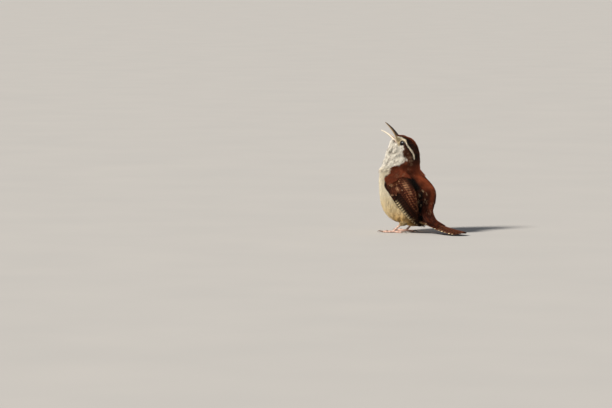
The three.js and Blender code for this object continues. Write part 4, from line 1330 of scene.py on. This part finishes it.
def barred_vane(name, period, duty, strength, bar_colour, slant=0.35):
    """Stiff feather keratin, semi-matt, with barbs set slanting off the shaft, drawn farther apart
    than the real ones. Dark bars cross the webs every period millimetres."""
    material, tree, surface = new_material(name)
    tint = node(tree, "ShaderNodeVertexColor", layer_name="Plumage")
    chart = node(tree, "ShaderNodeUVMap", uv_map="Vane")
    parts = node(tree, "ShaderNodeSeparateXYZ", {"Vector": chart})
    run = parts.outputs["Y"]
    place = node(tree, "ShaderNodeTexCoord").outputs["Object"]
    cloud = node(tree, "ShaderNodeTexNoise", {"Vector": place, "Scale": 600.0})
    out = node(tree, "ShaderNodeMath", {0: parts.outputs["X"]}, operation="ABSOLUTE")
    slanted = node(tree, "ShaderNodeMath", {0: out, 1: slant, 2: run}, operation="MULTIPLY_ADD")
    uneven = node(tree, "ShaderNodeMath", {0: cloud, 1: 0.9, 2: slanted}, operation="MULTIPLY_ADD")
    turns = node(tree, "ShaderNodeMath", {0: uneven, 1: math.tau / period}, operation="MULTIPLY")
    wave = node(tree, "ShaderNodeMath", {0: turns}, operation="SINE")
    ends = {"Value": wave, "From Min": duty - 0.35, "From Max": duty + 0.35, "To Max": strength}
    bar = node(tree, "ShaderNodeMapRange", ends, interpolation_type="SMOOTHSTEP")
    tones = {"Factor": bar, "A": tint, "B": linear(bar_colour)}
    barred = node(tree, "ShaderNodeMix", tones, data_type="RGBA")
    barbs = node(tree, "ShaderNodeMath", {0: out, 1: -0.9, 2: run}, operation="MULTIPLY_ADD")
    turns = node(tree, "ShaderNodeMath", {0: barbs, 1: math.tau / BARB_GAP}, operation="MULTIPLY")
    ridge = node(tree, "ShaderNodeMath", {0: turns}, operation="SINE")
    ends = {"Value": ridge, "From Min": -1, "From Max": 1, "To Min": 0.93, "To Max": 1.05}
    lit = {0: barred, "Scale": node(tree, "ShaderNodeMapRange", ends)}
    bumps = {"Height": ridge, "Strength": 0.1, "Distance": 0.0001}
    looks = {
        "Base Color": node(tree, "ShaderNodeVectorMath", lit, operation="SCALE"),
        "Roughness": 0.7,
        "Specular IOR Level": 0.04,
        "Normal": node(tree, "ShaderNodeBump", bumps),
    }
    fill(surface, looks)
    return material


covert_vane = barred_vane("covert_vane", 1.9, 0.35, 0.45, "#241009")


def graded(count, start, end, bow, width, lift, inner, point, rows=46):
    """The shapes of a tier's feathers. Each size is a number, or the first feather's and the step
    from one to the next: start and end along and across the wing, how far the feather bows and
    its width, its lift at the root and at the tip, the share of its width on the inner web, where
    its tip begins to round, and its rows of points."""

    def size(value, i):
        first, step = value if isinstance(value, tuple) else (value, 0)
        return first + step * i

    return [
        {
            "from": [size(value, i) for value in start],
            "to": [size(value, i) for value in end],
            "bow": size(bow, i),
            "width": size(width, i),
            "lift": [size(value, i) for value in lift],
            "inner": inner,
            "point": point,
            "rows": rows,
        }
        for i in range(count)
    ]


def strayed(shapes, draw, along, across):
    """The same feathers, each moved and widened a little from its neat place."""
    for shape in shapes:
        da, dc = draw.normal(size=2) * [along, across]
        (a0, c0), (a1, c1) = shape["from"], shape["to"]
        shape = shape | {"from": (a0 + da * 0.3, c0), "to": (a1 + da, c1 + dc)}
        shape["width"] *= draw.uniform(0.9, 1.1)
        yield shape


# The narrow outer webs are cream between their bars on the primaries next to the outermost one
OUTER_WEB = [np.array(linear(code)[:3]) for code in ("#E6D2A8", "#2C170F")]
PRIMARY_TIPS = [40.5, 45.5, 49.0, 51.2, 52.3, 52.0, 50.8, 49.0, 47.2]
primaries = graded(
    9, [10, (-3.8, 0.72)], [0, (-2.0, 0.92)], (-1.9, 0.24), (2.1, 0.08), [(0.9, 0.12), (1.0, 0.17)],
    0.62, 0.6, 60,
)
for i, (shape, tip) in enumerate(zip(primaries, PRIMARY_TIPS)):
    shape["to"][0] = tip
    shape["outer"] = blend(*OUTER_WEB[::-1], math.exp(-(((i - 1.9) / 1.35) ** 2)))
primary_coverts = graded(
    4, [5, (-3.8, 0.5)], [(21.5, -0.7), (-5.0, 0.85)], -0.6, 1.8, [(1.5, 0.1), (1.9, 0.12)],
    0.6, 0.6, 26,
)
secondaries = graded(
    6, [11, (1.6, 1.2)], [(46, -1.2), (3.1, 1.0)], (0.4, 0.35), 3.0, [(1.75, 0.1), (2.1, 0.13)],
    0.7, 0.8,
)
tertials = graded(
    3, [7, (8.2, 1.7)], [(40.5, -4.8), (7.6, 2.2)], (1.7, 0.3), (5.6, -0.5), [(2.1, 0.2), (2.8, 0.28)],
    0.58, 0.6,
)
greater_coverts = graded(
    12, [3, (-3.9, 1.64)], [(17.2, 0.2), (-4.8, 1.87)], 0, 2.7, [1.2, (2.75, -0.03)], 0.62, 0.55, 26
)
alula = graded(
    3, [2, (-3.4, -0.5)], [(15.5, -4), (-5.6, -0.3)], -0.5, 2.1, [(2.3, 0.3), (2.6, 0.4)],
    0.65, 0.6, 24,
)
median_coverts = graded(
    12, [-2, (-2.9, 1.5)], [(10.2, 0.1), (-4.2, 1.7)], 0, 2.4, [0.3, (3.3, -0.05)], 0.5, 0.45, 22
)
lesser_coverts = graded(
    13, [-5, (-2.2, 1.3)], [5.6, (-2.9, 1.4)], 0, 2.0, [-1.6, (3.5, -0.08)], 0.5, 0.4, 16
)
COVERT_TONES = (0.55, 1.2)
# Each piece's material, and its tiers: shapes, how far they stray along and across, and looks
WING_PIECES = {
    "primaries": (
        barred_vane("primary_vane", 2.25, 0.1, 0.97, "#140A06"),
        (primaries, 0.3, 0.1, {"web": "#24130D", "edge": "#2A1710", "in_line": True}),
        (primary_coverts, 0.4, 0.1, {"web": "#24120C", "edge": "#40241A"}),
    ),
    "secondaries": (
        barred_vane("secondary_vane", 2.3, 0.25, 0.75, "#1E0F0A"),
        (secondaries, 0.5, 0.1, {"web": "#3A190F", "edge": "#70402A", "root": 0.7}),
        (tertials, 0.6, 0.2, {"web": "#452115", "edge": "#84573C", "root": 1.0}),
    ),
    "wing_coverts": (
        covert_vane,
        (greater_coverts, 0.9, 0.35, {
            "web": "#3C1C11", "edge": "#5E3421", "spot": "#C9A584", "spotted": 0.4,
            "tones": COVERT_TONES,
        }),
        (alula, 0.3, 0.2, {"web": "#1C0E09", "edge": "#3A241A"}),
        (median_coverts, 0.9, 0.35, {
            "web": "#40200F", "edge": "#5C3220", "spot": "#B8906C", "spotted": 0.3,
            "tones": COVERT_TONES,
        }),
        (lesser_coverts, 0.8, 0.35, {"web": "#4A2418", "edge": "#5E3324"}),
    ),
}
for way, mirror in (("left", False), ("right", True)):
    draw = np.random.default_rng(48 + mirror)
    for seed, (name, (material, *tiers)) in enumerate(WING_PIECES.items(), 50 + 4 * mirror):
        looks = [
            look | {"shapes": list(strayed(shapes, draw, along, across))}
            for shapes, along, across, look in tiers
        ]
        made = vane_piece(
            f"{name}_{way}", wing_point, looks, material, seed, mirror
        )
        if name == "primaries":
            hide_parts(f"wing_{way}")

# Shoulder feathers: soft, short and brown, they lap from the neck and back over the top of the
# folded wing, so that it grows out of the body with no edge.
SHOULDER_RUN = (13, -10)
SHOULDER_RISE = (-7, 21)
SHOULDER_FORM = {
    "width": 2.4, "barb": 0.17, "spread": 0.32, "root": -0.9, "tip": 0.25, "stray": 0.16, "locks": 7,
}
SHOULDER_SPACING = 0.8
SHOULDER_GRID = 90
run, rise = (np.linspace(*ends, SHOULDER_GRID) for ends in (SHOULDER_RUN, SHOULDER_RISE))
run, rise = np.meshgrid(run, rise, indexing="ij")
over = smoothstep(run, -9, -2) * smoothstep(rise, -6.5, -2.5) * smoothstep(rise, 21, 13)
shoulder_hide = Hide(wing_point(run, rise, blend(-2.4, 3.6, over)), closed=False)


def shoulder_tint(points):
    lit = 0.5 + 0.5 * wobble(points, 3.4, 7) + 0.3 * wobble(points, 1.8, 8)
    base = blend(PLUMAGE["neck"], PLUMAGE["back"], np.clip(lit, 0, 1)[..., None])
    return blend(base, PLUMAGE["back_dark"], np.clip(-0.8 * lit, 0, 0.7)[..., None])


def on_shoulder(points):
    """Where the shoulder feathers are rooted: behind the pale breast, down to the larger coverts."""
    run, rise = wing_place(points)
    behind = points[..., 1] > at_keys(PALE_EDGE, points[..., 2]) + 1.2 + 1.5 * wobble(points, 3, 10)
    reach = np.where(rise < 12, 5.0 - 0.15 * np.abs(rise - 4), 3.8 + 0.9 * (rise - 12))
    return (run < reach) & (behind | (run > -2.0))


for way, mirror in (("left", False), ("right", True)):
    v, u = scattered(shoulder_hide, even(SHOULDER_SPACING), on_shoulder, 70 + mirror)
    points, _ = shoulder_hide.at(v, u, 0 * v)
    run, rise = wing_place(points)
    down = -0.25 * smoothstep(rise, 8, 18) * smoothstep(run, -6, 2)
    draw = np.random.default_rng(74 + mirror)
    form = SHOULDER_FORM | {
        "length": blend(3.6, 5.0, smoothstep(rise, 4, 16)),
        "lie": unit(WING_ALONG + down[:, None] * WING_UP),
        "spot": 0.3 * (draw.uniform(size=len(v)) < 0.03),
    }
    feather_piece(
        f"shoulder_feathers_{way}", "body_feathers", shoulder_hide, v, u, form, 72 + mirror,
        tint=shoulder_tint, mirror=mirror,
    )

# Tail: twelve feathers in six tiers, the middle pair on top, each crossed by fine dark bars, with
# soft coverts over and under its root. It is laid so that its tip rests at the feet's level.
TAIL_ROOT = {"y": 19, "z": 16.4}
TAIL_LENGTH = 53
TAIL_SLOPE_AT_ROOT = math.radians(26)
TAIL_SLOPE_AT_TIP = math.radians(6)
TAIL_ROOF_RADIUS = 40
# The lowest that the tail and the feet come to the floor
OFF_FLOOR = 0.02


def tail_point(along, across, lift):
    along, across, lift = spread_out(along, across, lift)
    bend = TAIL_LENGTH / (TAIL_SLOPE_AT_ROOT - TAIL_SLOPE_AT_TIP)
    slope = TAIL_SLOPE_AT_ROOT - along / bend
    height = lift - across**2 / (2 * TAIL_ROOF_RADIUS)
    ahead = bend * (math.sin(TAIL_SLOPE_AT_ROOT) - np.sin(slope))
    down = bend * (np.cos(slope) - math.cos(TAIL_SLOPE_AT_ROOT))
    y = TAIL_ROOT["y"] + ahead + height * np.sin(slope)
    z = TAIL_ROOT["z"] - down + height * np.cos(slope)
    return np.stack([across, y, np.maximum(z, OFF_FLOOR)], -1)


tail_vane = barred_vane("tail_vane", 2.6, 0.1, 0.92, "#150B08", slant=0.15)
rectrices = [
    {
        "from": (0, side * (0.35 + 0.5 * pair)),
        "to": (TAIL_LENGTH - shortfall, side * (0.9 + 1.05 * pair)),
        "bow": side * 0.2 * pair,
        "width": 5.6,
        "lift": (1.5 - 0.42 * pair + 0.1 * side, 1.5 - 0.42 * pair + 0.1 * side),
        "inner": 0.5 + 0.04 * pair,
        "point": 0.86,
        "leading": -side,
        "rows": 60,
    }
    | ({"outer": OUTER_WEB[0], "notches": 3.7, "rows": 120} if pair == 5 else {})
    for pair, shortfall in enumerate([0.8, 0, 0.3, 1.2, 2.8, 5.4])
    for side in (-1, 1)
]
upper_coverts = [
    {
        "from": (4, 1.5 * i), "to": (26 - 1.3 * abs(i), 1.4 * i), "bow": 0, "width": 3.8,
        "lift": (2.4 - 0.2 * abs(i), 2.4 - 0.25 * abs(i)), "point": 0.5, "rows": 24,
    }
    for i in (-3, 3, -2, 2, -1, 1, 0)
]
lower_coverts = [
    {
        "from": (8, 1.6 * i), "to": (23 - 2 * abs(i), 1.5 * i), "bow": 0, "width": 4.2,
        "lift": (-1.5 + 0.2 * abs(i), -1.0 + 0.2 * abs(i)), "point": 0.5, "rows": 24,
    }
    for i in (-2, -1, 0, 1, 2)
]
rectrix_look = {"web": "#4E2A1C", "edge": "#5E3A28", "shapes": rectrices}
covert_looks = [
    {"web": "#4A2418", "edge": "#643A28", "shapes": upper_coverts},
    # The lower coverts' buff is darkened with painted shade
    {"web": "#76583C", "edge": "#8E7048", "shapes": lower_coverts},
]
tail = vane_piece("rectrices", tail_point, [rectrix_look], tail_vane, 61)
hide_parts("tail")
vane_piece("tail_coverts", tail_point, covert_looks, covert_vane, 62)

# Soft coverts run from the rump over the tail's root and from the vent under it. Each coat passes
# through lines across the body, three on the tail and then three on the rump or the vent.
# On the tail: how far along and off it. On the body: back and up. Then twice the line's radius.
OVER_TAIL = [(32, 1.6, 60), (25, 3.0, 30), (18.5, 4.4, 20)]
ON_RUMP = [(35.0, 18.2, 16), (34.6, 22.5, 17), (34.8, 27.5, 19)]
UNDER_TAIL = [(27, -1.3, -60), (19, -2.2, -40), (12, -3.4, -30)]
ON_VENT = [(24.5, 7.2, 15), (19.5, 6.9, 14), (14.5, 7.4, 14)]


# The soft coverts over the tail's root: rufous mottled with near-black painted shade over their dark
# feather bases, and a painted highlight of rufous along the middle, as on the back's ridge
def rump_tint(points):
    lit = 0.35 + 0.4 * wobble(points, 4, 65) + 0.2 * wobble(points, 1.8, 66)
    lit = lit + 0.9 * smoothstep(np.abs(points[..., 0]), 4, 1) * smoothstep(points[..., 2], 17, 23)
    return blend(PLUMAGE["rump"], PLUMAGE["rust"], np.clip(lit, 0, 1)[..., None])


# The coverts under the tail: their buff darkened with painted shade, and barred dark towards the tail
def vent_tint_in_shade(points):
    y = points[..., 1]
    bars = smoothstep(np.sin(y * math.tau / 4.2 + wobble(points, 3, 68)), 0.3, 0.8)
    barred = 0.85 * (bars * smoothstep(y, 20, 25))[..., None]
    return blend(0.16 * PLUMAGE["vent"], PLUMAGE["back_dark"], barred)


TAIL_ROOT_FORM = {
    "length": 8.0, "width": 3.4, "barb": 0.2, "spread": 0.28, "root": -1.4, "tip": 0.15,
    "stray": 0.14, "locks": 7,
}
TAIL_ROOT_SPACING = 1.05
TAIL_ROOT_ROWS = 90
TAIL_ROOT_COLUMNS = 60
# No soft covert is rooted farther back than this
TAIL_ROOT_BACK = 39


def over_lines(side):
    """The coat over the tail's root, from the tail forward, at points so far to the side."""
    lines = [tail_point(along, side, lift - side**2 / bend) for along, lift, bend in OVER_TAIL]
    return lines + [np.stack(spread_out(side, y - side**2 / bend, z), -1) for y, z, bend in ON_RUMP]


def near_tail_root(points):
    return points[:, 1] < TAIL_ROOT_BACK


def under_lines(side):
    lines = [tail_point(along, side, lift - side**2 / bend) for along, lift, bend in UNDER_TAIL]
    return lines + [np.stack(spread_out(side, y, z + side**2 / bend), -1) for y, z, bend in ON_VENT]


for name, lines, half, tint, seed in (
    ("over_tail_feathers", over_lines, 8.5, rump_tint, 62),
    ("under_tail_feathers", under_lines, -7.5, vent_tint_in_shade, 72),
):
    side = np.linspace(half, -half, TAIL_ROOT_COLUMNS)
    keys = [line.ravel() for line in lines(side)]
    rows = through(keys, np.linspace(0, 1, TAIL_ROOT_ROWS))
    coat = Hide(rows.reshape(TAIL_ROOT_ROWS, TAIL_ROOT_COLUMNS, 3), closed=False)
    v, u = scattered(coat, even(TAIL_ROOT_SPACING), near_tail_root, seed)
    draw = np.random.default_rng(seed)
    form = TAIL_ROOT_FORM | {
        "lie": -unit(coat.read(coat.fore, v, u)),
        "spot": 0.7 * (draw.uniform(size=len(v)) < 0.04) * (half > 0),
    }
    feather_piece(name, "body_feathers", coat, v, u, form, seed + 1, tint=tint)

# Legs: a bare tarsus in a boot of horny scutes, and a foot of three toes ahead and one behind,
# ringed with small scutes over soft pads, each toe with a curved claw.
LEG_SCUTES = 8
LEG_RINGS = 120
# Each toe's heading off straight ahead, its length and its claw's
TOES = {
    "inner": (math.radians(-24), 8.5, 3.6),
    "middle": (0.0, 12.5, 4.0),
    "outer": (math.radians(22), 9.5, 3.6),
    "hind": (math.pi, 8.0, 5.4),
}
TOE_RADIUS = 0.86
TOE_Z = 0.78
TOE_SPLAY = math.radians(6)
TOE_RINGS = 70
TOE_SIDES = 16
TOE_SCUTE = 1.1
# The claw's root lies this much short of the toe's end
CLAW_ROOT = 0.05
CLAW_RINGS = 30
CLAW_SIDES = 14
BALL_RADIUS = 1.15
BALL_RINGS = 16


def skin_of_leg(name, light, dark, roughness):
    """Scaly leg skin: dry keratin over flesh, pink-buff, darker in the creases between scutes, and
    the browner horn of the claws, which darkens towards the point."""
    material, tree, surface = new_material(name)
    place = node(tree, "ShaderNodeTexCoord").outputs["Object"]
    chart = node(tree, "ShaderNodeUVMap", uv_map="Scute")
    along = node(tree, "ShaderNodeSeparateXYZ", {"Vector": chart}).outputs["X"]
    ends = {"Value": along, "From Min": 0.55, "From Max": 1.0}
    crease = node(tree, "ShaderNodeMapRange", ends, interpolation_type="SMOOTHSTEP")
    grain = node(tree, "ShaderNodeTexNoise", {"Vector": place, "Scale": 1500.0})
    worn = node(tree, "ShaderNodeMath", {0: grain, 1: 0.4, 2: crease}, operation="MULTIPLY_ADD")
    tones = {"Factor": worn, "A": linear(light), "B": linear(dark)}
    bumps = {"Height": grain, "Strength": 0.3, "Distance": 0.0001}
    looks = {
        "Base Color": node(tree, "ShaderNodeMix", tones, data_type="RGBA"),
        "Roughness": roughness,
        "Normal": node(tree, "ShaderNodeBump", bumps),
    }
    fill(surface, looks)
    return material


leg_material = skin_of_leg("scaled_leg_skin", "#D6B6A6", "#8C6258", 0.5)
claw_material = skin_of_leg("claw_horn", "#6E5647", "#3A2A22", 0.35)


def scaled_tube(line, radius, scute, sides=20):
    """A tube with a map that tells how near each point is to the crease behind its scute."""
    rows = tube_rows(line, radius, sides)
    points, faces = loft(rows)
    crease = np.repeat(scute, sides)
    crease = np.concatenate([crease, scute[:1], scute[-1:]])
    return points, faces, np.stack([crease, 0 * crease], 1)


def leg_piece(name, parts, material, slot, *replaced):
    points, faces = merged([(p, f) for p, f, _ in parts])
    points[:, 2] = np.maximum(points[:, 2], OFF_FLOOR)
    maps = {"Scute": np.concatenate([m for *_, m in parts])}
    made = piece(name, points, faces, material, maps=maps)
    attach(made, "root")
    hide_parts(*replaced)
    return made


for way, place in STANCE.items():
    share = np.linspace(0.04, 1.0, LEG_RINGS)
    scute = (share * LEG_SCUTES) % 1
    radius = 0.74 + 0.16 * (1 - scute) ** 0.6 * (share < 0.95) + 0.35 * np.abs(2 * share - 1) ** 6
    leg_piece(
        f"scaled_tarsus_{way}", [scaled_tube(leg_point(place, share), radius, scute)],
        leg_material, "leg_scales", f"tarsus_{way}",
    )
    toes = []
    side = np.sign(place[0])
    for toe, (angle, length, claw) in TOES.items():
        turn = (angle + TOE_SPLAY) * side
        ahead = np.array([math.sin(turn), -math.cos(turn)])
        share = np.linspace(0, 1, TOE_RINGS)
        levels = [(ANKLE_Z - 0.3,), (TOE_Z + 0.12,), (TOE_Z,)]
        z = through(levels, blend(share, np.sqrt(share), 0.3))[:, 0]
        x, y = (start + step * length * share for start, step in zip(place, ahead))
        line = np.stack([x, y, z], 1)
        pads = 3 if length > 9 else 2
        scute = (share * length / TOE_SCUTE) % 1
        end = np.sqrt(np.clip(1 - (np.maximum(0, share - 0.88) / 0.125) ** 2, 0.12, 1))
        swell = TOE_RADIUS + 0.12 * np.cos(math.tau * pads * share)
        radius = (swell * (1.04 - 0.2 * share) - 0.05 * scute) * end
        toes.append(scaled_tube(line, radius, scute, TOE_SIDES))
        run = np.linspace(0, 1, CLAW_RINGS)
        keys = [(0, 0.95), (claw * 0.35, 1.35), (claw * 0.75, 1.05), (claw, 0.25)]
        out, z = through(keys, run).T
        out = length - CLAW_ROOT + out
        line = np.stack([place[0] + ahead[0] * out, place[1] + ahead[1] * out, z], 1)
        radius = 0.5 * np.clip(1 - run, 0, 1) ** 0.7 + 0.05
        leg_piece(
            f"curved_claw_{way}_{toe}", [scaled_tube(line, radius, run, CLAW_SIDES)],
            claw_material, "claw_horn", f"claw_{way}_{toe}",
        )
    # The ball that the toes grow from
    ball = np.linspace(0.05, math.pi - 0.05, BALL_RINGS)
    z = ANKLE_Z - 0.35 - BALL_RADIUS * np.cos(ball)
    line = np.stack([0 * ball + place[0], 0 * ball + place[1], z], 1)
    toes.append(scaled_tube(line, BALL_RADIUS * np.sin(ball), 0 * ball + 0.3))
    leg_piece(f"scaled_foot_{way}", toes, leg_material, "leg_scales", f"foot_{way}")
